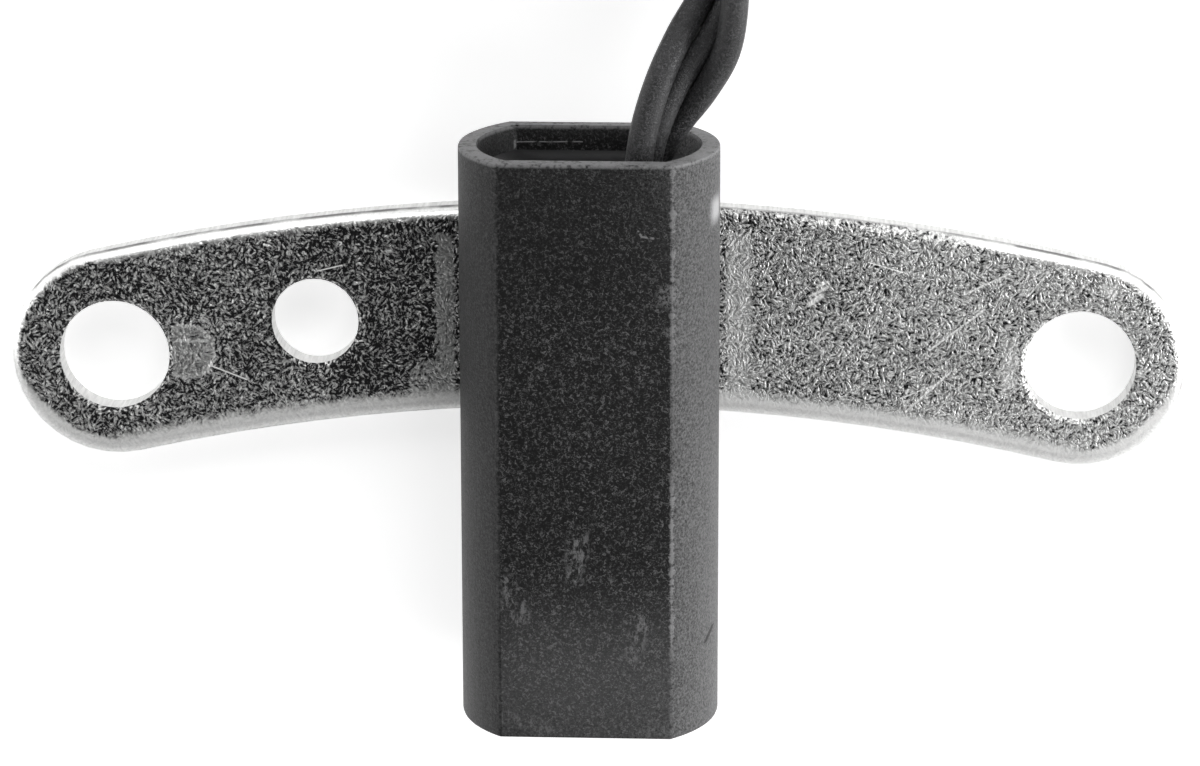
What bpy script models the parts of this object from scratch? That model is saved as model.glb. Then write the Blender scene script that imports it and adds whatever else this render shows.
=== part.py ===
"""Crankshaft position sensor.

A potted plastic probe is heat-staked to a curved steel bracket. Three wires leave the
probe's open mouth, lie in a coil and end in a sealed three-way connector.

Frame: X runs along the bracket, Y along the probe towards its open mouth, Z up from the
surface that the bracket's back lies on. The origin is midway between the two bolt holes,
on the bracket's back face.
"""

import math

import bmesh
import bpy
from mathutils import Matrix, Vector

MM = 0.001

# Fits between neighbouring pieces
CLEARANCE = 0.3 * MM
WELD_DISTANCE = 0.001 * MM
CUT_MARGIN = 1.0 * MM

# Bracket: a blanked strip of constant width along an arc
BOLT_SPACING = 61.0 * MM
BOLT_HOLE_D = 7.0 * MM
LOCATING_HOLE_D = 5.5 * MM
LOCATING_HOLE_X = -17.7 * MM
STRIP_WIDTH = 13.2 * MM
STRIP_THICKNESS = 2.0 * MM
STRIP_RISE = 3.5 * MM
EDGE_ROLL = 0.8 * MM
HOLE_ROLL = 0.25 * MM

# Probe housing: a round cup with a flat on its front and one on its back
PROBE_D = 16.0 * MM
PROBE_FLATS = 12.0 * MM
PROBE_LENGTH = 36.3 * MM
MOUTH_Y = 15.5 * MM
PROBE_WALL = 1.45 * MM
RIM_WALL = 1.1 * MM
LEAD_IN_DEPTH = 1.2 * MM
END_WALL = 1.2 * MM
HOUSING_EDGE = 0.15 * MM

# Posts of the housing, staked flush into countersinks at the bracket's back
STAKE_D = 3.0 * MM
STAKE_HEAD_D = 4.6 * MM
STAKE_HEAD_DEPTH = 0.9 * MM
STAKE_SPACING = 6.0 * MM
STAKE_RECESS = 0.05 * MM

# Potting
POTTING_DEPTH = 2.0 * MM
POTTING_LID = 5.5 * MM

# Sensing module
IC_HEIGHT = 3.0 * MM
IC_WIDTH = 4.1 * MM
IC_THICKNESS = 1.5 * MM
IC_BEVEL = 0.3 * MM
LEG_D = 0.45 * MM
LEG_PITCH = 1.27 * MM
LEG_COUNT = 3
CARRIER_WALL = 0.95 * MM
CARRIER_WEB = 0.5 * MM
MAGNET_LENGTH = 4.0 * MM
POLE_THICKNESS = 1.2 * MM
LEG_INSET = 1.55 * MM
LEG_CHANNEL_WIDTH = 4.0 * MM

# Circuit board, on edge so that the wires lie side by side on its right face
BOARD_X = 1.7 * MM
BOARD_THICKNESS = 1.0 * MM
BOARD_EDGE_GAP = 1.05 * MM
BOARD_SEAT_DEPTH = 2.2 * MM
CHIP_LENGTH = 3.2 * MM
CHIP_WIDTH = 1.6 * MM
CHIP_CAP_LENGTH = 0.5 * MM
CHIP_CAP_STEP = 0.06 * MM
CAPACITOR_HEIGHT = 1.2 * MM
RESISTOR_HEIGHT = 0.6 * MM
CHIP_PITCH = 2.4 * MM
FIRST_CHIP_UP = 5.6 * MM

# Wires and the coil that they lie in
WIRE_D = 1.7 * MM
WIRE_SPACING_RATIO = 1.07
BUNDLE_RATIO = 2.3
WIRE_POINT_SPACING = 3.6 * MM
WIRE_POINT_FINE = 0.05
WIRE_PAD_LENGTH = 5.2 * MM
WIRE_RISE_SHARE = 0.41
MOUTH_SHARE = 0.53
LEAD_REACH = 15.7 * MM
COIL_RADIUS = 13.0 * MM
COIL_TURNS = 2
COIL_EDGE = 1.2 * MM
TAIL_REACH = 13.5 * MM
SURFACE_LIFT = 0.05 * MM

# Stations of the three wires from the potting to the coil. Across runs from the wires' place in
# the mouth (0) to the coil's start (1), along from the mouth (0) to the coil's start (1), and up
# from the probe's axis (0) to the highest place in the bore (1). Join is how far the level of the
# coil's top turn is reached. Turn is the direction from the third wire to the first, seen along
# the bundle, and fold is how far their row is folded to a triangle, both in degrees.
LEAD_STATIONS = (
    (0.000, -0.129, 0.62, 0.00, 103, 0),
    (0.098, 0.029, 0.88, 0.00, 117, 5),
    (0.226, 0.150, 0.98, 0.00, 131, 11),
    (0.372, 0.255, 0.97, 0.00, 149, 18),
    (0.540, 0.358, 0.88, 0.00, 175, 24),
    (0.704, 0.460, 0.78, 0.00, 202, 29),
    (0.838, 0.580, 0.69, 0.00, 226, 34),
    (0.922, 0.715, 0.62, 0.25, 243, 40),
    (0.976, 0.855, 0.60, 0.70, 256, 47),
    (1.000, 1.000, 0.60, 1.00, 267, 54),
)

# Stations from the coil to the connector: along, up from the coil's lowest turn (0) to the
# connector's level (1), fold in degrees, and spread from a tight bundle (0) to the cavities' pitch (1)
TAIL_STATIONS = (
    (0.00, 0.00, 60, 0.00),
    (0.25, 0.10, 48, 0.12),
    (0.50, 0.38, 30, 0.38),
    (0.75, 0.74, 13, 0.74),
    (1.00, 0.98, 1, 0.99),
)
TAIL_TURN = 180

# Connector, lying on its underside with its mating end towards +Y
CONNECTOR_X = 9.0 * MM
CAVITY_PITCH = 5.6 * MM
CAVITY_COUNT = 3
BODY_WIDTH = 18.8 * MM
BODY_HEIGHT = 9.0 * MM
BODY_LENGTH = 18.0 * MM
BODY_CORNER = 2.4 * MM
HOOD_WIDTH = 20.8 * MM
HOOD_HEIGHT = 12.4 * MM
HOOD_CORNER = 2.8 * MM
HOOD_WALL = 1.4 * MM
HOOD_DEPTH = 12.0 * MM
FLOOR_THICKNESS = 3.0 * MM
COLLAR_LENGTH = 2.5 * MM
CONNECTOR_EDGE = 0.25 * MM
KEY_WIDTH = 1.6 * MM
KEY_HEIGHT = 1.2 * MM
KEY_OFFSET = 5.4 * MM
LOCK_WIDTH = 6.0 * MM
LOCK_LENGTH = 4.5 * MM
LOCK_HEIGHT = 1.4 * MM
LOCK_SETBACK = 4.0 * MM
GUIDE_WIDTH = 1.2 * MM
GUIDE_GAP = 1.6 * MM
GRIP_RIB_COUNT = 4
GRIP_RIB_WIDTH = 0.9 * MM
GRIP_RIB_PITCH = 3.0 * MM
GRIP_RIB_HEIGHT = 0.7 * MM
GRIP_RIB_LENGTH = 10.0 * MM

# Seals and terminals in the connector's cavities
SEAL_D = 4.0 * MM
SEAL_LENGTH = 5.4 * MM
SEAL_INSET = 0.6 * MM
SEAL_RIBS = 3
SEAL_GROOVE = 0.45 * MM
SEAL_POCKET_DEPTH = 7.8 * MM
CRIMP_D = 2.4 * MM
CRIMP_LENGTH = 3.2 * MM
TERMINAL_BODY = 2.0 * MM
BLADE_WIDTH = 1.5 * MM
BLADE_THICKNESS = 0.8 * MM
BLADE_REACH = 7.2 * MM
BLADE_TIP = 0.3 * MM
LOCK_PLATE_THICKNESS = 1.6 * MM

# Facet counts
PROBE_ARC_STEPS = 20
STRIP_ARC_STEPS = 20
STRIP_END_STEPS = 18
EDGE_ROLL_STEPS = 4
CORNER_STEPS = 5
HOLE_STEPS = 40
SMALL_HOLE_STEPS = 24
COIL_STEPS = 72

# Places and sizes that follow from the ones above, first in the probe
AXIS_Z = STRIP_THICKNESS + CLEARANCE + PROBE_FLATS / 2
END_Y = MOUTH_Y - PROBE_LENGTH
FLOOR_Y = END_Y + END_WALL
POTTING_TOP_Y = MOUTH_Y - POTTING_DEPTH
BORE_RADIUS = PROBE_D / 2 - PROBE_WALL
BORE_HALF_HEIGHT = PROBE_FLATS / 2 - PROBE_WALL
MAGNET_D = 2 * (BORE_HALF_HEIGHT - CARRIER_WALL - 2 * CLEARANCE)
IC_Y = FLOOR_Y + CLEARANCE + IC_THICKNESS / 2
MAGNET_Y = FLOOR_Y + 2 * CLEARANCE + IC_THICKNESS + MAGNET_LENGTH / 2
POLE_Y = MAGNET_Y + MAGNET_LENGTH / 2 + CLEARANCE + POLE_THICKNESS / 2
POLE_TOP_Y = POLE_Y + POLE_THICKNESS / 2
LEG_CHANNEL_X = BORE_RADIUS - LEG_INSET
CARRIER_BASE_Y = FLOOR_Y + CLEARANCE
BOARD_SEAT_Y = POLE_TOP_Y + CLEARANCE + CARRIER_WEB
CARRIER_TOP_Y = BOARD_SEAT_Y + BOARD_SEAT_DEPTH
CARRIER_LENGTH = CARRIER_TOP_Y - CARRIER_BASE_Y
BOARD_BASE_Y = BOARD_SEAT_Y + CLEARANCE
BOARD_TOP_Y = POTTING_TOP_Y - POTTING_LID - CLEARANCE
BOARD_LENGTH = BOARD_TOP_Y - BOARD_BASE_Y
BOARD_WIDTH = 2 * (BORE_HALF_HEIGHT - BOARD_EDGE_GAP)
BOARD_FACE_X = BOARD_X + BOARD_THICKNESS / 2

# Then along the wires
WIRE_SPACING = WIRE_SPACING_RATIO * WIRE_D
BUNDLE_D = BUNDLE_RATIO * WIRE_D
WIRE_ROW_X = BOARD_FACE_X + CLEARANCE + WIRE_D / 2
MOUTH_X = MOUTH_SHARE * BORE_RADIUS
MOUTH_RISE = BORE_HALF_HEIGHT - WIRE_SPACING - WIRE_D / 2
COIL_X = CONNECTOR_X - COIL_RADIUS
COIL_RUN = math.sqrt(2 * COIL_RADIUS * BUNDLE_D) + CLEARANCE
COIL_Y = MOUTH_Y + LEAD_REACH + COIL_RUN
COIL_LOW_Z = SURFACE_LIFT + BUNDLE_D / 2
COIL_HIGH_Z = COIL_LOW_Z + COIL_TURNS * BUNDLE_D
COIL_TOP_Z = COIL_HIGH_Z + BUNDLE_D / 2
TAIL_START_Y = COIL_Y + COIL_RUN

# And in the connector
CONNECTOR_Y = TAIL_START_Y + TAIL_REACH
CONNECTOR_Z = HOOD_HEIGHT / 2 + SURFACE_LIFT
HOOD_FLOOR_Y = CONNECTOR_Y + BODY_LENGTH
MATING_Y = HOOD_FLOOR_Y + HOOD_DEPTH
CRIMP_START_Y = CONNECTOR_Y + SEAL_POCKET_DEPTH
PASSAGE_SIZE = CRIMP_D + 2 * CLEARANCE

# Colours: base colour, roughness, metallic
ZINC = ((0.62, 0.63, 0.62), 0.38, 1.0)
BLACK_PLASTIC = ((0.018, 0.018, 0.018), 0.55, 0.0)
POTTING_BLACK = ((0.012, 0.012, 0.013), 0.3, 0.0)
WIRE_GREY = ((0.035, 0.035, 0.036), 0.5, 0.0)
CARRIER_NATURAL = ((0.62, 0.58, 0.47), 0.5, 0.0)
EPOXY_BLACK = ((0.02, 0.02, 0.022), 0.45, 0.0)
MAGNET_NICKEL = ((0.55, 0.55, 0.54), 0.25, 1.0)
MILD_STEEL = ((0.4, 0.4, 0.41), 0.35, 1.0)
BOARD_GREEN = ((0.02, 0.14, 0.06), 0.4, 0.0)
CERAMIC_TAN = ((0.45, 0.3, 0.16), 0.4, 0.0)
CERAMIC_BLACK = ((0.03, 0.03, 0.035), 0.4, 0.0)
CONNECTOR_BLACK = ((0.025, 0.025, 0.027), 0.5, 0.0)
TINNED_BRASS = ((0.68, 0.68, 0.66), 0.28, 1.0)
SEAL_SILICONE = ((0.42, 0.12, 0.06), 0.55, 0.0)
LOCK_WHITE = ((0.7, 0.7, 0.68), 0.5, 0.0)


def clear_scene():
    """Remove every object, so that the script can be run again."""
    for obj in list(bpy.data.objects):
        bpy.data.objects.remove(obj, do_unlink=True)


def new_collection(name):
    """Return a fresh collection linked to the scene."""
    collection = bpy.data.collections.new(name)
    bpy.context.scene.collection.children.link(collection)
    return collection


def make_material(name, finish):
    """Return a Principled material from a colour, a roughness and a metallic value."""
    colour, roughness, metallic = finish
    material = bpy.data.materials.new(name)
    material.use_nodes = True
    shader = material.node_tree.nodes["Principled BSDF"]
    shader.inputs["Base Color"].default_value = (*colour, 1.0)
    shader.inputs["Roughness"].default_value = roughness
    shader.inputs["Metallic"].default_value = metallic
    return material


class Workshop:
    """Holds the two collections and turns meshes into parts or cutters."""

    def __init__(self):
        self.parts = new_collection("crankshaft_position_sensor")
        self.cutters = new_collection("cutters")

    def add(self, name, mesh, matrix=None):
        """Link a mesh as a new object of the model."""
        obj = bpy.data.objects.new(name, mesh)
        obj.matrix_world = matrix or Matrix.Identity(4)
        self.parts.objects.link(obj)
        return obj

    def as_cutter(self, obj):
        """Move an object to the cutters and hide it from the model."""
        self.parts.objects.unlink(obj)
        self.cutters.objects.link(obj)
        obj.hide_render = True
        obj.display_type = "WIRE"
        return obj

    def cut(self, obj, *tools):
        """Take each tool's volume away from the object."""
        self._combine(obj, tools, "DIFFERENCE")

    def join(self, obj, *tools):
        """Add each tool's volume to the object."""
        self._combine(obj, tools, "UNION")

    def _combine(self, obj, tools, operation):
        for tool in tools:
            modifier = obj.modifiers.new(f"{operation.lower()} {tool.name}", "BOOLEAN")
            modifier.operation = operation
            modifier.solver = "EXACT"
            modifier.object = self.as_cutter(tool)

    def extrusion(self, name, outline, depth, matrix):
        """Extrude a flat outline by a depth, centred on its own plane."""
        curve = bpy.data.curves.new(name, "CURVE")
        curve.dimensions = "2D"
        curve.fill_mode = "BOTH"
        curve.extrude = depth / 2
        spline = curve.splines.new("POLY")
        spline.points.add(len(outline) - 1)
        for point, (x, y) in zip(spline.points, outline):
            point.co = (x, y, 0.0, 1.0)
        spline.use_cyclic_u = True
        return self._meshed(name, curve, matrix)

    def thick_lines(self, name, routes, diameter):
        """Return a welded mesh tube along each route, which Booleans accept."""
        return self._meshed(name, tube_curve(name, routes, diameter), Matrix.Identity(4))

    def _meshed(self, name, curve, matrix):
        source = self.add(name + "_outline", curve, matrix)
        bpy.context.view_layer.update()
        evaluated = source.evaluated_get(bpy.context.evaluated_depsgraph_get())
        mesh = bpy.data.meshes.new_from_object(evaluated)
        mesh.name = name
        weld(mesh)
        obj = self.add(name, mesh, source.matrix_world.copy())
        bpy.data.objects.remove(source, do_unlink=True)
        return obj

    def box(self, name, size, centre):
        """Return a box with its size applied to the mesh."""
        bm = bmesh.new()
        bmesh.ops.create_cube(bm, size=1.0, matrix=Matrix.Diagonal((*size, 1.0)))
        return self.add(name, finish_mesh(name, bm), Matrix.Translation(centre))

    def cylinder(self, name, diameter, length, matrix, steps=HOLE_STEPS, end_diameter=None):
        """Return a cylinder along its own Z, or a cone that ends at end_diameter at +Z."""
        bm = bmesh.new()
        bmesh.ops.create_cone(
            bm,
            cap_ends=True,
            segments=steps,
            radius1=diameter / 2,
            radius2=(end_diameter or diameter) / 2,
            depth=length,
        )
        return self.add(name, finish_mesh(name, bm), matrix)

    def turned(self, name, profile, matrix, steps):
        """Turn a closed profile of (radius, height) points about its own Z."""
        bm = bmesh.new()
        verts = [bm.verts.new((radius, 0.0, height)) for radius, height in profile]
        for first, second in zip(verts, verts[1:] + verts[:1]):
            bm.edges.new((first, second))
        obj = self.add(name, finish_mesh(name, bm), matrix)
        screw = obj.modifiers.new("turn", "SCREW")
        screw.steps = steps
        screw.render_steps = steps
        screw.use_merge_vertices = True
        screw.merge_threshold = WELD_DISTANCE
        return obj


def finish_mesh(name, bm):
    """Write a bmesh to a new mesh and free it."""
    mesh = bpy.data.meshes.new(name)
    bm.to_mesh(mesh)
    bm.free()
    return mesh


def weld(mesh):
    """Close the loose caps of a mesh that was made from a curve."""
    bm = bmesh.new()
    bm.from_mesh(mesh)
    bmesh.ops.remove_doubles(bm, verts=bm.verts, dist=WELD_DISTANCE)
    bmesh.ops.recalc_face_normals(bm, faces=bm.faces)
    bm.to_mesh(mesh)
    bm.free()


def round_edges(obj, width, segments=2, angle=35.0):
    """Round every edge of the object that is sharper than the angle in degrees."""
    bevel = obj.modifiers.new("rounded edges", "BEVEL")
    bevel.width = width
    bevel.segments = segments
    bevel.limit_method = "ANGLE"
    bevel.angle_limit = math.radians(angle)


def shade(obj, finish, angle=35.0):
    """Give the object its material and smooth shading up to the angle in degrees."""
    obj.data.materials.clear()
    obj.data.materials.append(make_material(obj.name, finish))
    obj.data.shade_smooth()
    obj.data.set_sharp_from_angle(angle=math.radians(angle))


def along_y(x, y, z):
    """Place a piece whose own Z is to point along world -Y, and its own Y along world Z."""
    return Matrix.Translation((x, y, z)) @ Matrix.Rotation(math.radians(90.0), 4, "X")


def towards_y(x, y, z):
    """Place a piece whose own Z is to point along world +Y."""
    return Matrix.Translation((x, y, z)) @ Matrix.Rotation(math.radians(-90.0), 4, "X")


def arc(centre, radius, start, end, steps):
    """Return points on an arc from the start angle to the end angle, both in radians."""
    angles = [start + (end - start) * step / steps for step in range(steps + 1)]
    return [(centre[0] + radius * math.cos(a), centre[1] + radius * math.sin(a)) for a in angles]


def flatted_round(diameter, flats):
    """Return the outline of a circle cut by two flats, above and below its centre."""
    radius = diameter / 2
    edge = math.asin(flats / diameter)
    right = arc((0.0, 0.0), radius, -edge, edge, PROBE_ARC_STEPS)
    left = arc((0.0, 0.0), radius, math.pi - edge, math.pi + edge, PROBE_ARC_STEPS)
    return right + left


def rounded_rectangle(width, height, corner):
    """Return the outline of a rectangle with round corners, centred on the origin."""
    points = []
    for quarter, (side_x, side_y) in enumerate(((1, 1), (-1, 1), (-1, -1), (1, -1))):
        centre = (side_x * (width / 2 - corner), side_y * (height / 2 - corner))
        start = math.radians(90.0 * quarter)
        points += arc(centre, corner, start, start + math.radians(90.0), CORNER_STEPS)
    return points


def strip_arc():
    """Return the radius of the bracket's centreline and the half angle between its bolt holes."""
    half = BOLT_SPACING / 2
    radius = (half**2 + STRIP_RISE**2) / (2 * STRIP_RISE)
    return radius, math.asin(half / radius)


def strip_centre_y(x):
    """Return the centreline's Y at a place along the bracket."""
    radius, _ = strip_arc()
    return STRIP_RISE - radius + math.sqrt(radius**2 - x**2)


def strip_outline():
    """Return the bracket's outline: two arcs joined by a round end about each bolt hole."""
    radius, half_angle = strip_arc()
    centre = (0.0, STRIP_RISE - radius)
    half_width = STRIP_WIDTH / 2
    up = math.radians(90.0)
    outer = arc(centre, radius + half_width, up - half_angle, up + half_angle, STRIP_ARC_STEPS)
    left_start = up + half_angle
    left = arc((-BOLT_SPACING / 2, 0.0), half_width, left_start, left_start + math.pi, STRIP_END_STEPS)
    inner = arc(centre, radius - half_width, up + half_angle, up - half_angle, STRIP_ARC_STEPS)
    right_start = up - half_angle - math.pi
    right = arc((BOLT_SPACING / 2, 0.0), half_width, right_start, right_start + math.pi, STRIP_END_STEPS)
    return outer + left[1:-1] + inner + right[1:-1]


def roll_front_edge(obj):
    """Round the strip's outer front edge, as blanking leaves it."""
    front = STRIP_THICKNESS / 2 - WELD_DISTANCE
    bm = bmesh.new()
    bm.from_mesh(obj.data)
    flat = [
        edge
        for edge in bm.edges
        if len(edge.link_faces) == 2 and all(abs(face.normal.z) > 0.9 for face in edge.link_faces)
    ]
    bmesh.ops.dissolve_edges(bm, edges=flat, use_verts=False)
    rim = [edge for edge in bm.edges if all(vertex.co.z > front for vertex in edge.verts)]
    bmesh.ops.bevel(
        bm, geom=rim, offset=EDGE_ROLL, segments=EDGE_ROLL_STEPS, profile=0.5, affect="EDGES"
    )
    bm.to_mesh(obj.data)
    bm.free()


def punch(shop, name, diameter, x, y, steps):
    """Return a punch for a hole with a slightly rolled front edge."""
    radius = diameter / 2
    low = -CUT_MARGIN
    high = STRIP_THICKNESS + CUT_MARGIN
    flare = radius + HOLE_ROLL + CUT_MARGIN
    profile = [
        (0.0, high),
        (flare, high),
        (radius, STRIP_THICKNESS - HOLE_ROLL),
        (radius, low),
        (0.0, low),
    ]
    return shop.turned(name, profile, Matrix.Translation((x, y, 0.0)), steps)


def stake_places():
    """Return the two places where the housing is staked to the bracket."""
    return [(side * STAKE_SPACING / 2, strip_centre_y(side * STAKE_SPACING / 2)) for side in (-1, 1)]


def stake_profile(growth):
    """Return a staked post's profile, grown all round for the hole that it passes through."""
    radius = STAKE_D / 2 + growth
    spread = (STAKE_HEAD_D - STAKE_D) / 2 / (STAKE_HEAD_DEPTH - STAKE_RECESS)
    bottom = -CUT_MARGIN if growth else STAKE_RECESS
    foot = radius + spread * (STAKE_HEAD_DEPTH - bottom)
    top = STRIP_THICKNESS + CUT_MARGIN
    return [(0.0, top), (radius, top), (radius, STAKE_HEAD_DEPTH), (foot, bottom), (0.0, bottom)]


def build_bracket(shop):
    """Blank the strip, roll its front edge and punch its holes."""
    half = STRIP_THICKNESS / 2
    place = Matrix.Translation((0.0, 0.0, half))
    bracket = shop.extrusion("bracket", strip_outline(), STRIP_THICKNESS, place)
    roll_front_edge(bracket)
    shop.cut(
        bracket,
        punch(shop, "bolt_punch_left", BOLT_HOLE_D, -BOLT_SPACING / 2, 0.0, HOLE_STEPS),
        punch(shop, "bolt_punch_right", BOLT_HOLE_D, BOLT_SPACING / 2, 0.0, HOLE_STEPS),
        punch(
            shop,
            "locating_punch",
            LOCATING_HOLE_D,
            LOCATING_HOLE_X,
            strip_centre_y(LOCATING_HOLE_X),
            HOLE_STEPS,
        ),
    )
    for index, (x, y) in enumerate(stake_places()):
        place = Matrix.Translation((x, y, 0.0))
        drill = shop.turned(f"stake_drill_{index}", stake_profile(CLEARANCE), place, SMALL_HOLE_STEPS)
        shop.cut(bracket, drill)
    shade(bracket, ZINC)


def lead_in_cutter(shop):
    """Return the mouth's lead-in: the rim's opening, tapering to the bore below it."""
    wide_d = PROBE_D - 2 * RIM_WALL
    wide_flats = PROBE_FLATS - 2 * RIM_WALL
    cutter = shop.extrusion(
        "lead_in_cutter",
        flatted_round(wide_d, wide_flats),
        LEAD_IN_DEPTH,
        along_y(0.0, MOUTH_Y - LEAD_IN_DEPTH / 2, AXIS_Z),
    )
    for vertex in cutter.data.vertices:
        if vertex.co.z > 0.0:
            vertex.co.x *= 2 * BORE_RADIUS / wide_d
            vertex.co.y *= 2 * BORE_HALF_HEIGHT / wide_flats
    return cutter


def build_housing(shop):
    """Mould the cup with its flats, its tapered mouth and its two staked posts."""
    housing = shop.extrusion(
        "housing",
        flatted_round(PROBE_D, PROBE_FLATS),
        PROBE_LENGTH,
        along_y(0.0, MOUTH_Y - PROBE_LENGTH / 2, AXIS_Z),
    )
    round_edges(housing, HOUSING_EDGE)
    for index, (x, y) in enumerate(stake_places()):
        profile = stake_profile(0.0)
        post = shop.turned(f"stake_{index}", profile, Matrix.Translation((x, y, 0)), SMALL_HOLE_STEPS)
        shop.join(housing, post)
    bore_length = MOUTH_Y + CUT_MARGIN - FLOOR_Y
    bore = shop.extrusion(
        "bore_cutter",
        bore_outline(0.0),
        bore_length,
        along_y(0.0, FLOOR_Y + bore_length / 2, AXIS_Z),
    )
    shop.cut(housing, bore, lead_in_cutter(shop))
    shade(housing, BLACK_PLASTIC)


def bore_outline(inset):
    """Return the outline of the housing's bore, drawn in by an inset all round."""
    return flatted_round(2 * (BORE_RADIUS - inset), 2 * (BORE_HALF_HEIGHT - inset))


def build_potting(shop, leads):
    """Fill the bore above the carrier, with a pocket round the board and a way for each wire."""
    base_y = CARRIER_TOP_Y + CLEARANCE
    height = POTTING_TOP_Y - base_y
    potting = shop.extrusion(
        "potting_compound",
        bore_outline(CLEARANCE),
        height,
        along_y(0.0, base_y + height / 2, AXIS_Z),
    )
    pocket_left = BOARD_X - BOARD_THICKNESS / 2 - CAPACITOR_HEIGHT - 2 * CLEARANCE
    pocket_right = LEG_CHANNEL_X
    pocket_top = BOARD_TOP_Y + CLEARANCE
    pocket_base = base_y - CUT_MARGIN
    pocket = shop.box(
        "board_pocket",
        (pocket_right - pocket_left, pocket_top - pocket_base, BOARD_WIDTH + 2 * CLEARANCE),
        ((pocket_left + pocket_right) / 2, (pocket_top + pocket_base) / 2, AXIS_Z),
    )
    shop.cut(potting, pocket)
    # The wires lie closer than the clearance, so their ways through the fill run into each other
    inner = [[place for place in route if place.y < MOUTH_Y + WIRE_POINT_SPACING] for route in leads]
    shop.cut(potting, shop.thick_lines("wire_tunnels", inner, WIRE_D + 2 * CLEARANCE))
    potting.modifiers[-1].use_self = True
    shade(potting, POTTING_BLACK)


def build_carrier(shop):
    """Mould the carrier that locates the element, the magnet, the pole piece and the board."""
    carrier = shop.extrusion(
        "element_carrier",
        bore_outline(CLEARANCE),
        CARRIER_LENGTH,
        along_y(0.0, CARRIER_BASE_Y + CARRIER_LENGTH / 2, AXIS_Z),
    )
    recess_depth = IC_THICKNESS + CLEARANCE
    side = PROBE_D / 2
    magnet_base = MAGNET_Y - MAGNET_LENGTH / 2 - CLEARANCE / 2
    magnet_top = POLE_TOP_Y + CLEARANCE
    magnet_bore = shop.cylinder(
        "magnet_bore",
        MAGNET_D + 2 * CLEARANCE,
        magnet_top - magnet_base,
        along_y(0.0, (magnet_base + magnet_top) / 2, AXIS_Z),
    )
    ic_recess = shop.box(
        "ic_recess",
        (IC_HEIGHT + 2 * CLEARANCE, recess_depth + CUT_MARGIN, IC_WIDTH + 2 * CLEARANCE),
        (0.0, CARRIER_BASE_Y + (recess_depth - CUT_MARGIN) / 2, AXIS_Z),
    )
    front_groove = shop.box(
        "front_groove",
        (side, recess_depth + CUT_MARGIN, LEG_CHANNEL_WIDTH),
        (side / 2, CARRIER_BASE_Y + (recess_depth - CUT_MARGIN) / 2, AXIS_Z),
    )
    channel_inner = LEG_CHANNEL_X - LEG_D / 2 - CLEARANCE
    side_channel = shop.box(
        "side_channel",
        (side - channel_inner, CARRIER_LENGTH + 2 * CUT_MARGIN, LEG_CHANNEL_WIDTH),
        ((side + channel_inner) / 2, CARRIER_BASE_Y + CARRIER_LENGTH / 2, AXIS_Z),
    )
    top_pocket = shop.box(
        "top_pocket",
        (channel_inner + LEG_D, CARRIER_TOP_Y + CUT_MARGIN - magnet_top + CLEARANCE, LEG_CHANNEL_WIDTH),
        (
            (channel_inner + LEG_D) / 2,
            (CARRIER_TOP_Y + CUT_MARGIN + magnet_top - CLEARANCE) / 2,
            AXIS_Z,
        ),
    )
    board_slot = shop.box(
        "board_slot",
        (
            BOARD_THICKNESS + 2 * CLEARANCE,
            BOARD_SEAT_DEPTH + CUT_MARGIN,
            BOARD_WIDTH + 2 * CLEARANCE,
        ),
        (BOARD_X, BOARD_SEAT_Y + (BOARD_SEAT_DEPTH + CUT_MARGIN) / 2, AXIS_Z),
    )
    shop.cut(carrier, magnet_bore, ic_recess, front_groove, side_channel, top_pocket, board_slot)
    shade(carrier, CARRIER_NATURAL)


def leg_route(offset):
    """Return one leg's route: out of the element, back along the carrier and in to the board."""
    start = (IC_HEIGHT / 2 - IC_BEVEL, IC_Y, AXIS_Z + offset)
    turn = (LEG_CHANNEL_X, IC_Y, AXIS_Z + offset)
    rise = (LEG_CHANNEL_X, CARRIER_TOP_Y - BOARD_SEAT_DEPTH / 2, AXIS_Z + offset)
    pad_x = BOARD_FACE_X + CLEARANCE + LEG_D / 2
    pad = (pad_x, CARRIER_TOP_Y + CLEARANCE, AXIS_Z + offset)
    end = (pad_x, CARRIER_TOP_Y + CLEARANCE + LEG_PITCH, AXIS_Z + offset)
    return [start, turn, rise, pad, end]


def build_element(shop):
    """Make the Hall element's moulded body with its three legs."""
    body = shop.box("hall_ic", (IC_HEIGHT, IC_THICKNESS, IC_WIDTH), (0.0, IC_Y, AXIS_Z))
    round_edges(body, IC_BEVEL, segments=1)
    for index in range(LEG_COUNT):
        offset = (index - (LEG_COUNT - 1) / 2) * LEG_PITCH
        shop.join(body, shop.thick_lines(f"leg_{index}", [leg_route(offset)], LEG_D))
    shade(body, EPOXY_BLACK)


def build_magnet_stack(shop):
    """Make the magnet and the steel disc behind it."""
    magnet = shop.cylinder("bias_magnet", MAGNET_D, MAGNET_LENGTH, along_y(0, MAGNET_Y, AXIS_Z))
    round_edges(magnet, HOUSING_EDGE)
    shade(magnet, MAGNET_NICKEL)
    disc = shop.cylinder("pole_piece", MAGNET_D, POLE_THICKNESS, along_y(0, POLE_Y, AXIS_Z))
    round_edges(disc, HOUSING_EDGE)
    shade(disc, MILD_STEEL)


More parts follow.
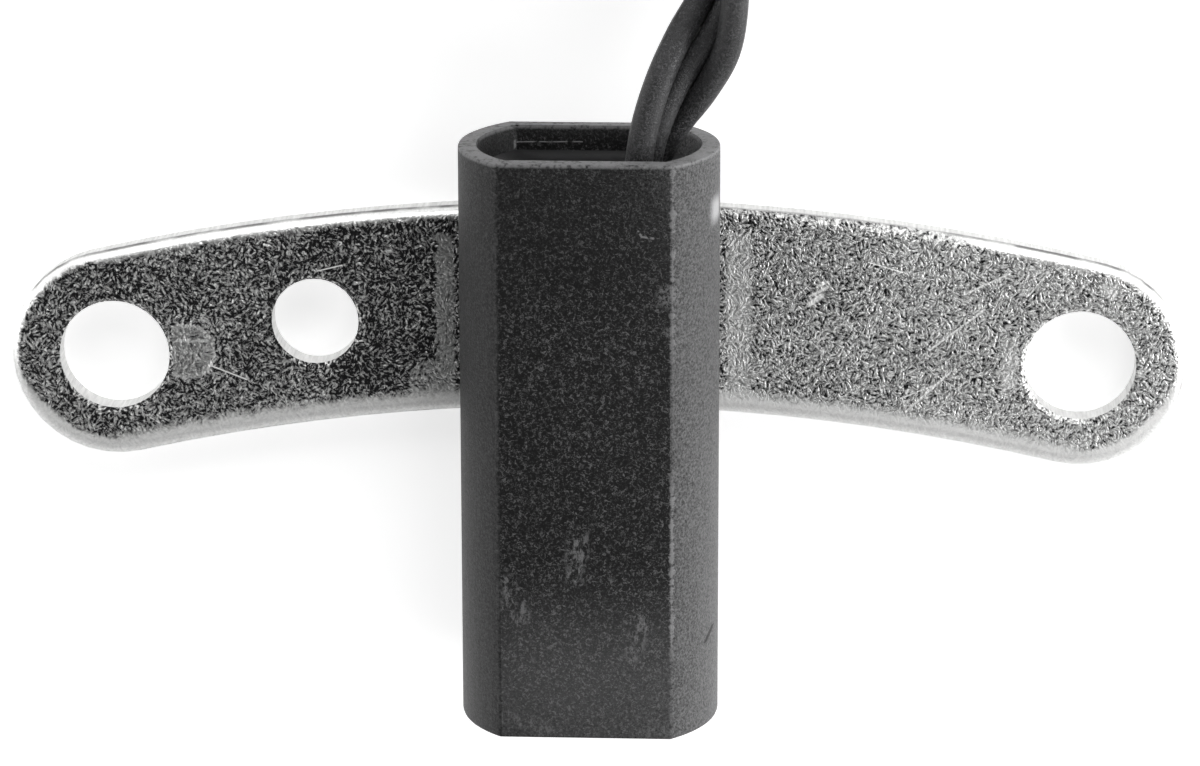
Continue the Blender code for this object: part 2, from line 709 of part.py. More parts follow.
def build_board(shop):
    """Make the board and the chips on its left face."""
    board = shop.box(
        "circuit_board",
        (BOARD_THICKNESS, BOARD_LENGTH, BOARD_WIDTH),
        (BOARD_X, BOARD_BASE_Y + BOARD_LENGTH / 2, AXIS_Z),
    )
    shade(board, BOARD_GREEN)
    chips = (
        ("filter_capacitor_1", CAPACITOR_HEIGHT, CERAMIC_TAN),
        ("filter_capacitor_2", CAPACITOR_HEIGHT, CERAMIC_TAN),
        ("pull_up_resistor", RESISTOR_HEIGHT, CERAMIC_BLACK),
    )
    for index, (name, height, finish) in enumerate(chips):
        build_chip(shop, name, height, BOARD_BASE_Y + FIRST_CHIP_UP + index * CHIP_PITCH, finish)


def build_chip(shop, name, height, y, finish):
    """Make a chip whose end caps stand slightly proud of its body."""
    x = BOARD_X - BOARD_THICKNESS / 2 - CLEARANCE - height / 2
    body = shop.box(
        name,
        (height - CHIP_CAP_STEP, CHIP_WIDTH - CHIP_CAP_STEP, CHIP_LENGTH - CHIP_CAP_LENGTH),
        (x, y, AXIS_Z),
    )
    for side in (-1, 1):
        cap = shop.box(
            f"{name}_cap_{side}",
            (height, CHIP_WIDTH, CHIP_CAP_LENGTH),
            (x, y, AXIS_Z + side * (CHIP_LENGTH - CHIP_CAP_LENGTH) / 2),
        )
        shop.join(body, cap)
    shade(body, finish)


def tube_curve(name, routes, diameter):
    """Return a round curve with filled caps along each route."""
    curve = bpy.data.curves.new(name, "CURVE")
    curve.dimensions = "3D"
    curve.bevel_depth = diameter / 2
    curve.bevel_resolution = 2
    curve.use_fill_caps = True
    for route in routes:
        spline = curve.splines.new("POLY")
        spline.points.add(len(route) - 1)
        for point, place in zip(spline.points, route):
            point.co = (*place, 1.0)
    return curve


def lead_stations():
    """Return the bundle's centre, turn, fold and wire spacing from the board to the coil."""
    start_y = BOARD_TOP_Y - WIRE_PAD_LENGTH
    rise_y = start_y + (POTTING_TOP_Y - start_y) * WIRE_RISE_SHARE
    stations = [(Vector((WIRE_ROW_X, y, AXIS_Z)), 90, 0, WIRE_SPACING) for y in (start_y, rise_y)]
    for across, along, up, join, turn, fold in LEAD_STATIONS:
        x = MOUTH_X + (CONNECTOR_X - MOUTH_X) * across
        y = MOUTH_Y + LEAD_REACH * along
        z = (AXIS_Z + MOUTH_RISE * up) * (1 - join) + COIL_HIGH_Z * join
        stations.append((Vector((x, y, z)), turn, fold, WIRE_SPACING))
    return stations


def tail_stations():
    """Return the bundle's centre, turn, fold and wire spacing from the coil to the crimps."""
    stations = []
    for along, up, fold, spread in TAIL_STATIONS:
        y = TAIL_START_Y + TAIL_REACH * along
        z = COIL_LOW_Z + (CONNECTOR_Z - COIL_LOW_Z) * up
        spacing = WIRE_SPACING + (CAVITY_PITCH - WIRE_SPACING) * spread
        stations.append((Vector((CONNECTOR_X, y, z)), TAIL_TURN, fold, spacing))
    end = Vector((CONNECTOR_X, CRIMP_START_Y - CLEARANCE, CONNECTOR_Z))
    stations.append((end, TAIL_TURN, 0, CAVITY_PITCH))
    return stations


def wire_routes(stations):
    """Set the three wires off from the bundle's centre, in the plane across it at each station."""
    centres = [centre for centre, _, _, _ in stations]
    behind = [centres[0]] + centres[:-1]
    ahead = centres[1:] + [centres[-1]]
    routes = ([], [], [])
    for (centre, turn, fold, spacing), last, following in zip(stations, behind, ahead):
        heading = (following - last).normalized()
        right = heading.cross(Vector((0.0, 0.0, 1.0))).normalized()
        up = right.cross(heading)
        angle = math.radians(turn)
        row = right * math.cos(angle) + up * math.sin(angle)
        side = up * math.cos(angle) - right * math.sin(angle)
        reach = row * spacing * math.cos(math.radians(fold))
        lean = side * spacing * math.sin(math.radians(fold))
        routes[0].append(centre + reach - lean / 3)
        routes[1].append(centre + lean * 2 / 3)
        routes[2].append(centre - reach - lean / 3)
    return [smooth_route(route) for route in routes]


def smooth_route(knots):
    """Read evenly spaced points from a smooth curve through the knots of a route."""
    knots = [2 * knots[0] - knots[1]] + knots + [2 * knots[-1] - knots[-2]]
    fine = []
    samples = round(1 / WIRE_POINT_FINE)
    for before, start, end, after in zip(knots, knots[1:], knots[2:], knots[3:]):
        for sample in range(samples):
            fine.append(between(before, start, end, after, sample / samples))
    fine.append(knots[-2])
    return evenly_spaced(fine, WIRE_POINT_SPACING)


def slope(before, here, after):
    """Return a smooth curve's direction at a point, weighed by the distances to its neighbours."""
    first = (here - before).length
    second = (after - here).length
    return ((here - before) * second / first + (after - here) * first / second) / (first + second)


def between(before, start, end, after, t):
    """Return the point at t between start and end on a smooth curve through all four points."""
    span = (end - start).length
    leaving = slope(before, start, end) * span
    arriving = slope(start, end, after) * span
    rest = 1 - t
    ends = start * (1 + 2 * t) * rest**2 + end * (1 + 2 * rest) * t**2
    return ends + leaving * t * rest**2 - arriving * rest * t**2


def evenly_spaced(points, spacing):
    """Return points at about equal distances along a chain of points."""
    lengths = [0.0]
    for first, second in zip(points, points[1:]):
        lengths.append(lengths[-1] + (second - first).length)
    count = max(2, round(lengths[-1] / spacing))
    chosen = [points[0]]
    index = 0
    for step in range(1, count):
        target = lengths[-1] * step / count
        while lengths[index + 1] < target:
            index += 1
        share = (target - lengths[index]) / (lengths[index + 1] - lengths[index])
        chosen.append(points[index].lerp(points[index + 1], share))
    chosen.append(points[-1])
    return chosen


def build_wires(shop, leads):
    """Lay the uncoiled stretches of the three wires, and the coil's outer shape."""
    for index, route in enumerate(leads):
        lay_wire(shop, f"wire_{index + 1}_lead", route)
    for index, route in enumerate(wire_routes(tail_stations())):
        lay_wire(shop, f"wire_{index + 1}_tail", route)
    outer = COIL_RADIUS + BUNDLE_D / 2
    inner = COIL_RADIUS - BUNDLE_D / 2
    bottom = SURFACE_LIFT
    top = COIL_TOP_Z
    profile = [
        (outer, top - COIL_EDGE),
        (outer, bottom + COIL_EDGE),
        (outer - COIL_EDGE, bottom),
        (inner + COIL_EDGE, bottom),
        (inner, bottom + COIL_EDGE),
        (inner, top - COIL_EDGE),
        (inner + COIL_EDGE, top),
        (outer - COIL_EDGE, top),
    ]
    coil = shop.turned("wire_coil", profile, Matrix.Translation((COIL_X, COIL_Y, 0.0)), COIL_STEPS)
    shade(coil, WIRE_GREY)


def lay_wire(shop, name, route):
    """Lay one stretch of wire as a round curve."""
    curve = tube_curve(name, [route], WIRE_D)
    curve.materials.append(make_material(name, WIRE_GREY))
    shop.add(name, curve)


def cavity_places():
    """Return the X of each of the connector's cavities."""
    first = CONNECTOR_X - (CAVITY_COUNT - 1) * CAVITY_PITCH / 2
    return [first + index * CAVITY_PITCH for index in range(CAVITY_COUNT)]


def connector_block(shop, name, width, height, corner, start_y, end_y):
    """Return a rounded block of the connector between two places along it."""
    return shop.extrusion(
        name,
        rounded_rectangle(width, height, corner),
        end_y - start_y,
        along_y(CONNECTOR_X, (start_y + end_y) / 2, CONNECTOR_Z),
    )


def lock_nib(shop):
    """Return the wedge on the hood's top that the mating latch snaps over."""
    top = HOOD_HEIGHT / 2
    outline = [
        (0.0, -HOOD_WALL / 2),
        (LOCK_LENGTH, -HOOD_WALL / 2),
        (LOCK_LENGTH, 0.0),
        (LOCK_LENGTH / 4, LOCK_HEIGHT),
        (0.0, LOCK_HEIGHT),
    ]
    turn = Matrix.Rotation(math.radians(90.0), 4, "Z") @ Matrix.Rotation(math.radians(90.0), 4, "X")
    start = MATING_Y - LOCK_SETBACK - LOCK_LENGTH
    place = Matrix.Translation((CONNECTOR_X, start, CONNECTOR_Z + top)) @ turn
    return shop.extrusion("lock_nib", outline, LOCK_WIDTH, place)


def lock_guides(shop):
    """Return the two rails that stand beside the lock nib."""
    length = LOCK_LENGTH + LOCK_SETBACK
    height = LOCK_HEIGHT + HOOD_WALL / 2
    z = CONNECTOR_Z + HOOD_HEIGHT / 2 + LOCK_HEIGHT - height / 2
    offset = LOCK_WIDTH / 2 + GUIDE_GAP + GUIDE_WIDTH / 2
    rails = []
    for side in (-1, 1):
        place = (CONNECTOR_X + side * offset, MATING_Y - LOCK_SETBACK / 2 - length / 2, z)
        rails.append(shop.box(f"lock_guide_{side}", (GUIDE_WIDTH, length, height), place))
    return rails


def grip_ribs(shop):
    """Return the ribs along the top and the bottom of the connector's body."""
    ribs = []
    start = CONNECTOR_Y + COLLAR_LENGTH - CONNECTOR_EDGE
    z_offset = BODY_HEIGHT / 2
    for side in (-1, 1):
        for index in range(GRIP_RIB_COUNT):
            x = CONNECTOR_X + (index - (GRIP_RIB_COUNT - 1) / 2) * GRIP_RIB_PITCH
            ribs.append(
                shop.box(
                    f"grip_rib_{side}_{index}",
                    (GRIP_RIB_WIDTH, GRIP_RIB_LENGTH, 2 * GRIP_RIB_HEIGHT),
                    (x, start + GRIP_RIB_LENGTH / 2, CONNECTOR_Z + side * z_offset),
                )
            )
    return ribs


def build_connector(shop):
    """Mould the hooded connector with its cavities, keys, lock nib and grip ribs."""
    body = connector_block(
        shop, "connector_housing", BODY_WIDTH, BODY_HEIGHT, BODY_CORNER, CONNECTOR_Y, HOOD_FLOOR_Y
    )
    round_edges(body, CONNECTOR_EDGE, segments=1)
    hood_start = HOOD_FLOOR_Y - FLOOR_THICKNESS
    hood = connector_block(
        shop, "hood_block", HOOD_WIDTH, HOOD_HEIGHT, HOOD_CORNER, hood_start, MATING_Y
    )
    round_edges(hood, CONNECTOR_EDGE, segments=1)
    collar_end = CONNECTOR_Y + COLLAR_LENGTH
    collar = connector_block(
        shop, "collar_block", HOOD_WIDTH, HOOD_HEIGHT, HOOD_CORNER, CONNECTOR_Y, collar_end
    )
    round_edges(collar, CONNECTOR_EDGE, segments=1)
    shop.join(body, hood, collar, lock_nib(shop), *lock_guides(shop), *grip_ribs(shop))
    socket = connector_block(
        shop,
        "socket_cutter",
        HOOD_WIDTH - 2 * HOOD_WALL,
        HOOD_HEIGHT - 2 * HOOD_WALL,
        HOOD_CORNER - HOOD_WALL,
        HOOD_FLOOR_Y,
        MATING_Y + CUT_MARGIN,
    )
    shop.cut(body, socket)
    for index, x in enumerate(cavity_places()):
        shop.cut(body, *cavity_cutters(shop, index, x))
    key_y = (HOOD_FLOOR_Y + MATING_Y) / 2
    key_z = CONNECTOR_Z - HOOD_HEIGHT / 2 + HOOD_WALL
    for side in (-1, 1):
        key = shop.box(
            f"socket_key_{side}",
            (KEY_WIDTH, HOOD_DEPTH - 2 * CONNECTOR_EDGE, 2 * KEY_HEIGHT),
            (CONNECTOR_X + side * KEY_OFFSET, key_y, key_z),
        )
        shop.join(body, key)
    shade(body, CONNECTOR_BLACK)


def cavity_cutters(shop, index, x):
    """Return the seal pocket and the terminal passage of one cavity."""
    pocket_end = CRIMP_START_Y
    pocket_start = CONNECTOR_Y - CUT_MARGIN
    pocket = shop.cylinder(
        f"seal_pocket_{index}",
        SEAL_D + 2 * CLEARANCE,
        pocket_end - pocket_start,
        along_y(x, (pocket_start + pocket_end) / 2, CONNECTOR_Z),
        SMALL_HOLE_STEPS,
    )
    passage_start = pocket_end - CUT_MARGIN
    passage_end = HOOD_FLOOR_Y + CUT_MARGIN
    passage = shop.box(
        f"terminal_passage_{index}",
        (PASSAGE_SIZE, passage_end - passage_start, PASSAGE_SIZE),
        (x, (passage_start + passage_end) / 2, CONNECTOR_Z),
    )
    return pocket, passage


def build_terminals(shop):
    """Make the three blades with their crimp barrels."""
    body_start = CRIMP_START_Y + CRIMP_LENGTH
    body_end = HOOD_FLOOR_Y - CLEARANCE
    blade_end = HOOD_FLOOR_Y + BLADE_REACH
    overlap = CLEARANCE
    for index, x in enumerate(cavity_places()):
        blade = shop.box(
            f"terminal_{index + 1}",
            (BLADE_WIDTH, blade_end - body_end + overlap, BLADE_THICKNESS),
            (x, (body_end - overlap + blade_end) / 2, CONNECTOR_Z),
        )
        round_edges(blade, BLADE_TIP, segments=1)
        block = shop.box(
            f"terminal_block_{index}",
            (TERMINAL_BODY, body_end - body_start, TERMINAL_BODY),
            (x, (body_start + body_end) / 2, CONNECTOR_Z),
        )
        barrel = shop.cylinder(
            f"crimp_barrel_{index}",
            CRIMP_D,
            CRIMP_LENGTH + overlap,
            along_y(x, CRIMP_START_Y + (CRIMP_LENGTH + overlap) / 2, CONNECTOR_Z),
            SMALL_HOLE_STEPS,
        )
        shop.join(blade, block, barrel)
        shade(blade, TINNED_BRASS)


def seal_profile():
    """Return a ribbed seal's section, with its bore clear of the wire."""
    bore = WIRE_D / 2 + CLEARANCE
    crest = SEAL_D / 2
    root = crest - SEAL_GROOVE
    rib = SEAL_LENGTH / (2 * SEAL_RIBS - 1)
    outer = []
    height = SEAL_LENGTH / 2
    for index in range(2 * SEAL_RIBS - 1):
        radius = crest if index % 2 == 0 else root
        outer += [(radius, height), (radius, height - rib)]
        height -= rib
    return outer + [(bore, -SEAL_LENGTH / 2), (bore, SEAL_LENGTH / 2)]


def build_seals(shop):
    """Turn the three wire seals."""
    y = CONNECTOR_Y + SEAL_INSET + SEAL_LENGTH / 2
    for index, x in enumerate(cavity_places()):
        matrix = towards_y(x, y, CONNECTOR_Z)
        seal = shop.turned(f"wire_seal_{index + 1}", seal_profile(), matrix, SMALL_HOLE_STEPS)
        shade(seal, SEAL_SILICONE)


def build_terminal_lock(shop):
    """Make the plate on the socket's floor that keeps the blades in line."""
    width = HOOD_WIDTH - 2 * HOOD_WALL - 2 * CLEARANCE
    height = HOOD_HEIGHT - 2 * HOOD_WALL - 2 * CLEARANCE
    start = HOOD_FLOOR_Y + CLEARANCE
    end = start + LOCK_PLATE_THICKNESS
    plate = connector_block(
        shop, "terminal_lock", width, height, HOOD_CORNER - HOOD_WALL - CLEARANCE, start, end
    )
    middle = (start + end) / 2
    for index, x in enumerate(cavity_places()):
        slot = shop.box(
            f"blade_slot_{index}",
            (
                BLADE_WIDTH + 2 * CLEARANCE,
                LOCK_PLATE_THICKNESS + 2 * CUT_MARGIN,
                BLADE_THICKNESS + 2 * CLEARANCE,
            ),
            (x, middle, CONNECTOR_Z),
        )
        shop.cut(plate, slot)
    for side in (-1, 1):
        notch = shop.box(
            f"key_notch_{side}",
            (
                KEY_WIDTH + 2 * CLEARANCE,
                LOCK_PLATE_THICKNESS + 2 * CUT_MARGIN,
                2 * (KEY_HEIGHT + CLEARANCE),
            ),
            (CONNECTOR_X + side * KEY_OFFSET, middle, CONNECTOR_Z - HOOD_HEIGHT / 2 + HOOD_WALL),
        )
        shop.cut(plate, notch)
    shade(plate, LOCK_WHITE)


def main():
    """Build the sensor."""
    clear_scene()
    shop = Workshop()
    leads = wire_routes(lead_stations())
    build_bracket(shop)
    build_housing(shop)
    build_potting(shop, leads)
    build_carrier(shop)
    build_element(shop)
    build_magnet_stack(shop)
    build_board(shop)
    build_wires(shop, leads)
    build_connector(shop)
    build_terminals(shop)
    build_seals(shop)
    build_terminal_lock(shop)


main()
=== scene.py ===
"""Crankshaft position sensor: the finished look over its packed frame.

Sizes are in metres along the frame's own axes. Detail on a surface is laid out in millimetres.
"""

import math

import bmesh
import bpy
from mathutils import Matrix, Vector


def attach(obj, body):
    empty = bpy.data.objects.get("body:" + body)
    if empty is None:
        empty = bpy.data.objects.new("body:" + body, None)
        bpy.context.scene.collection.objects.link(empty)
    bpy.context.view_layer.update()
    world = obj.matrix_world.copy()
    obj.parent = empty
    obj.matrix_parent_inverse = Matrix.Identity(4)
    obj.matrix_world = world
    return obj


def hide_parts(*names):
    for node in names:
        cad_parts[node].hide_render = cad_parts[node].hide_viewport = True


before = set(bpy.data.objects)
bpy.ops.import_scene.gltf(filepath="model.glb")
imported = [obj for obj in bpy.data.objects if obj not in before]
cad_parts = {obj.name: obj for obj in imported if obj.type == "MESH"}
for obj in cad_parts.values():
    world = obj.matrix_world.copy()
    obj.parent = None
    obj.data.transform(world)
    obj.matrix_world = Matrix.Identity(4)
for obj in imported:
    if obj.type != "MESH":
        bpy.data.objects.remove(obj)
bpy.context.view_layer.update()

bl_info = {
    "name": "Crankshaft position sensor",
    "version": (1, 0, 0),
    "blender": (4, 5, 0),
    "location": "3D View > Sidebar > Sensor",
    "description": "Dresses a crankshaft position sensor and its studio",
    "category": "Add Mesh",
}

MM = 0.001
BODY = "root"

# Places on the frame, in metres
PROBE_AXIS_Z = 0.0083
MOUTH_Y = 0.0155
POTTING_TOP_Y = 0.0135
BORE_RADIUS = 0.00655
BORE_HALF_HEIGHT = 0.00455
BOARD_TOP_Y = 0.0077
WIRE_PAD_LENGTH = 0.0052
WIRE_RISE_SHARE = 0.41
WIRE_ROW_X = 0.00335
MOUTH_X = 0.53 * BORE_RADIUS
LEAD_REACH = 0.0157
TAIL_REACH = 0.0135
CONNECTOR_X = 0.0090
CONNECTOR_Z = 0.00625
SEAL_POCKET_DEPTH = 0.0078
CAVITY_PITCH = 0.0056
CLEARANCE = 0.0003
SURFACE_LIFT = 0.00005
WIRE_POINT_SPACING = 0.0030

# The coil: its stations in a turn, the wires' fold in it, and where the tape lies, in degrees and metres
COIL_STEPS = 26
COIL_FOLD = 60
TAPE_ANGLES = (150.0, 265.0)
TAPE_LIFT = 0.000004

# The resin's surface, in metres, and the share of the way out at which it starts to climb
RESIN_GAP = 0.00002
RESIN_LIFT = 0.00006
RESIN_SKIRT = 0.0004
CLIMB_START = 0.72

# How far apart facets are welded, and the angles from which an edge stays sharp
WELD_DISTANCE = 0.002 * MM
NODE_SHARP_ANGLE = 32.0
PIECE_SHARP_ANGLE = 40.0

# The bracket, in millimetres
BOLT_SPACING = 61.0
STRIP_WIDTH = 13.2
STRIP_RISE = 3.5

# Stations of the three wires from the potting to the coil: across, along, up, join, turn and fold
LEAD_STATIONS = (
    (0.000, -0.129, 0.62, 0.00, 103, 0),
    (0.098, 0.029, 0.88, 0.00, 117, 5),
    (0.226, 0.150, 0.98, 0.00, 131, 11),
    (0.372, 0.255, 0.97, 0.00, 149, 18),
    (0.540, 0.358, 0.88, 0.00, 175, 24),
    (0.704, 0.460, 0.78, 0.00, 202, 29),
    (0.838, 0.580, 0.69, 0.00, 226, 34),
    (0.922, 0.715, 0.62, 0.25, 243, 40),
    (0.976, 0.855, 0.60, 0.70, 256, 47),
    (1.000, 1.000, 0.60, 1.00, 267, 54),
)

# Stations from the coil to the connector: along, up, fold and spread
TAIL_STATIONS = (
    (0.00, 0.00, 60, 0.00),
    (0.25, 0.10, 48, 0.12),
    (0.50, 0.38, 30, 0.38),
    (0.75, 0.74, 13, 0.74),
    (1.00, 0.98, 1, 0.99),
)

# Straight scratches on the bracket, by start, end and width, and its rubbed half-disc, in millimetres
SCRATCHES = (
    ((19.68, -3.03), (22.34, -0.51), 0.12),
    ((21.06, 0.97), (24.45, 3.61), 0.11),
    ((19.3, -2.2), (21.4, -1.3), 0.07),
    ((23.2, 4.6), (26.0, 6.0), 0.09),
    ((13.54, 3.88), (14.26, 4.41), 0.26),
    ((13.71, 4.45), (14.64, 4.99), 0.15),
    ((13.99, 4.99), (14.68, 5.31), 0.13),
    ((17.2, 6.6), (19.6, 5.9), 0.07),
    ((-24.49, -0.54), (-22.07, -1.49), 0.07),
    ((-17.5, 5.65), (-15.9, 6.05), 0.06),
    ((27.2, 4.6), (28.4, 6.1), 0.08),
)
HALF_DISC = (-25.85, 0.3)
HALF_DISC_EDGE = (-26.9, -26.7)

# Marks on the probe in millimetres: strokes by start, end and width, discs by centre, radius and softness
SCUFFS = (
    ((-0.4, -7.8), (-0.6, -10.2), 0.95),
    ((-4.6, -10.9), (-4.0, -13.0), 0.9),
    ((3.4, -13.4), (3.0, -15.2), 0.8),
    ((-5.0, -19.4), (-2.2, -20.3), 0.7),
    ((3.6, -20.3), (5.2, -20.2), 0.5),
)
HOOK = (((3.25, 11.45), (3.44, 11.13), 0.1), ((3.44, 11.13), (4.15, 11.03), 0.1))
MOUTH_LINES = (((-4.71, 14.48), (-0.68, 14.52), 0.06), ((-4.83, 14.6), (-4.84, 13.5), 0.1))
SLASH = ((7.3, -15.3), (7.7, -14.6), 0.14)
GLINT = ((7.7, 11.9), 0.7, 0.5)
CHIPS = (((5.05, 7.45), 0.7, 0.3), ((5.1, 5.2), 0.32, 0.15))
RIGHT_EDGE_X = 5.3
LEFT_EDGE_X = -5.32

# Places on the hidden parts and the connector, in millimetres
BOARD_FACE_X = 1.7
WIRE_PAD_ROWS = (-1.819, 0.0, 1.819)
LEG_PAD_ROWS = (-1.27, 0.0, 1.27)
LEG_EDGE = (1.52, 1.58)
CAP_EDGE = (1.08, 1.13)
GATE_MARK = (6.2, 9.4)
BLADE_TIP_Y = 90.6

# How fast the board's tracks repeat, in radians to the millimetre
TRACK_RATE = 2.05


def vector_property(name, description, default, subtype, **limits):
    """Return a setting of three numbers."""
    return bpy.props.FloatVectorProperty(
        name=name, description=description, default=default, size=3, subtype=subtype, precision=5, **limits
    )


def colour_property(name, description, default):
    """Return a colour setting."""
    return vector_property(name, description, default, "COLOR", min=0.0, max=1.0)


def number_property(name, description, default, **limits):
    """Return a setting of one number."""
    return bpy.props.FloatProperty(name=name, description=description, default=default, **limits)


def length_property(name, description, default):
    """Return a length setting in metres."""
    return number_property(name, description, default, min=0.0, unit="LENGTH", precision=5)


def share_property(name, description, default):
    """Return a setting from 0 to 1."""
    return number_property(name, description, default, min=0.0, max=1.0, subtype="FACTOR")


class StudioSettings(bpy.types.PropertyGroup):
    """Camera, floor and lights."""

    camera_place: vector_property(
        "Camera place", "Where it stands", (0.014888, 0.079089, 0.288707), "TRANSLATION", unit="LENGTH"
    )
    camera_turn: vector_property(
        "Camera turn", "Its turn about Z, then X, then Y", (-0.27348, 0.05077, -0.00172), "EULER"
    )
    lens: number_property("Lens", "Focal length", 141.72, min=1.0, unit="CAMERA")
    floor_size: length_property("Floor", "Side of the floor", 6.0)
    floor_colour: colour_property("Floor colour", "Colour of the floor and the walls", (0.9, 0.9, 0.9))
    floor_glow: share_property("Floor glow", "Light that the floor adds of its own", 0.58)
    ceiling: share_property("Ceiling", "Brightness of the dark ceiling", 0.1)
    right_light: number_property("Right light", "Power of the right panel in watts", 2.4)
    left_light: number_property("Left light", "Power of the left panel in watts", 0.45)
    back_light: number_property("Back light", "Power of the panel beyond the wires in watts", 1.5)
    top_light: number_property("Top light", "Power of the high panel in watts", 0.35)
    near_light: number_property("Near light", "Power of the small panel over the right wing in watts", 0.03)


class WireSettings(bpy.types.PropertyGroup):
    """The three wires, their coil and its ties."""

    diameter: length_property("Wire", "Diameter of a wire", 0.0017)
    spacing_ratio: number_property("Spacing", "Spacing of the wires in wire diameters", 1.0)
    bundle: length_property("Bundle", "Diameter of the bundle of three", 0.00391)
    coil_radius: length_property("Coil radius", "Radius of the coil's middle line", 0.0130)
    turns: bpy.props.IntProperty(name="Turns", description="Turns in the coil", default=2, min=1)
    twists: bpy.props.IntProperty(name="Twists", description="Twists of the bundle in the coil", default=5)
    step_arc: number_property("Step", "Arc over which a turn steps down", math.radians(100), subtype="ANGLE")
    tape_length: length_property("Tape", "Width of the tape round the coil", 0.0060)
    tape_thickness: length_property("Tape thickness", "Thickness of the tape's layers", 0.00009)
    colour: colour_property("Wire colour", "Colour of the insulation", (0.022, 0.022, 0.023))
    tape_colour: colour_property("Tape colour", "Colour of the tape", (0.012, 0.012, 0.012))


class ProbeSettings(bpy.types.PropertyGroup):
    """The moulded probe and its fill."""

    plastic: colour_property("Plastic", "Colour of the probe", (0.003, 0.003, 0.0032))
    # The rubbed colour is also the light end of the probe's tone, so it carries the painted light on the
    # right side and, lighter still, the painted glint
    rubbed: colour_property("Rubbed plastic", "Colour where the probe is rubbed", (0.15, 0.15, 0.152))
    grain: number_property("Grain", "Grains to the millimetre", 5.0)
    resin: colour_property("Resin", "Colour of the potting", (0.012, 0.012, 0.0125))
    meniscus: length_property("Meniscus", "How far the resin climbs the wall", 0.00045)


class MetalSettings(bpy.types.PropertyGroup):
    """The plated bracket and the other metals."""

    zinc_dark: colour_property("Zinc, dark", "Colour between the crystals", (0.02, 0.02, 0.021))
    # Also the colour that the painted highlights on the bracket's rolled border reach
    zinc_light: colour_property("Zinc, light", "Colour of the crystals", (1.0, 1.0, 0.99))
    crystal: length_property("Crystals", "Length of a crystal's streaks", 0.00048)
    nickel: colour_property("Nickel", "Colour of the magnet's plating", (0.56, 0.55, 0.53))
    steel: colour_property("Steel", "Colour of the pole piece", (0.42, 0.42, 0.43))
    tin: colour_property("Tin", "Colour of the tinned terminals", (0.7, 0.7, 0.68))
    brass: colour_property("Brass", "Colour of the brass at cut edges", (0.62, 0.45, 0.2))


class ConnectorSettings(bpy.types.PropertyGroup):
    """The connector and the parts inside the probe."""

    shell: colour_property("Connector", "Colour of the connector", (0.016, 0.016, 0.017))
    lock: colour_property("Lock plate", "Colour of the terminal lock", (0.62, 0.62, 0.6))
    seal: colour_property("Seals", "Colour of the wire seals", (0.34, 0.1, 0.045))
    carrier: colour_property("Carrier", "Colour of the element carrier", (0.55, 0.5, 0.39))
    board: colour_property("Board", "Colour of the board's mask", (0.012, 0.1, 0.045))
    ceramic: colour_property("Ceramic", "Colour of the capacitors", (0.4, 0.27, 0.15))


def maths(operation, swapped=False):
    """Return a method of Value that does one sum, with its two numbers swapped where the sign asks for it."""

    def method(self, *others):
        numbers = (*others, self) if swapped else (self, *others)
        node = self.finish.node("ShaderNodeMath", {"operation": operation}, dict(enumerate(numbers)))
        return Value(self.finish, node.outputs[0])

    return method


class Value:
    """A number that varies over a surface and takes part in plain arithmetic."""

    def __init__(self, finish, socket):
        self.finish = finish
        self.socket = socket

    __add__ = __radd__ = maths("ADD")
    __sub__ = maths("SUBTRACT")
    __rsub__ = maths("SUBTRACT", swapped=True)
    __mul__ = __rmul__ = maths("MULTIPLY")
    __truediv__ = maths("DIVIDE")
    __gt__ = maths("GREATER_THAN")
    __abs__ = maths("ABSOLUTE")
    root = maths("SQRT")
    wave = maths("SINE")
    angle_over = maths("ARCTAN2")
    at_most = maths("MINIMUM")
    at_least = maths("MAXIMUM")

    def square(self):
        """Return the value times itself."""
        return self * self

    def held(self):
        """Return the value held between 0 and 1."""
        return self.at_least(0.0).at_most(1.0)

    def rise(self, low, high):
        """Return a smooth step from 0 at low to 1 at high."""
        sockets = {"Value": self, "From Min": low, "From Max": high}
        node = self.finish.node("ShaderNodeMapRange", {"interpolation_type": "SMOOTHSTEP"}, sockets)
        return Value(self.finish, node.outputs["Result"])

    def fall(self, low, high):
        """Return a smooth step from 1 at low to 0 at high."""
        return 1.0 - self.rise(low, high)


def strongest(mask, *others):
    """Return the largest of several masks."""
    for other in others:
        mask = mask.at_least(other)
    return mask


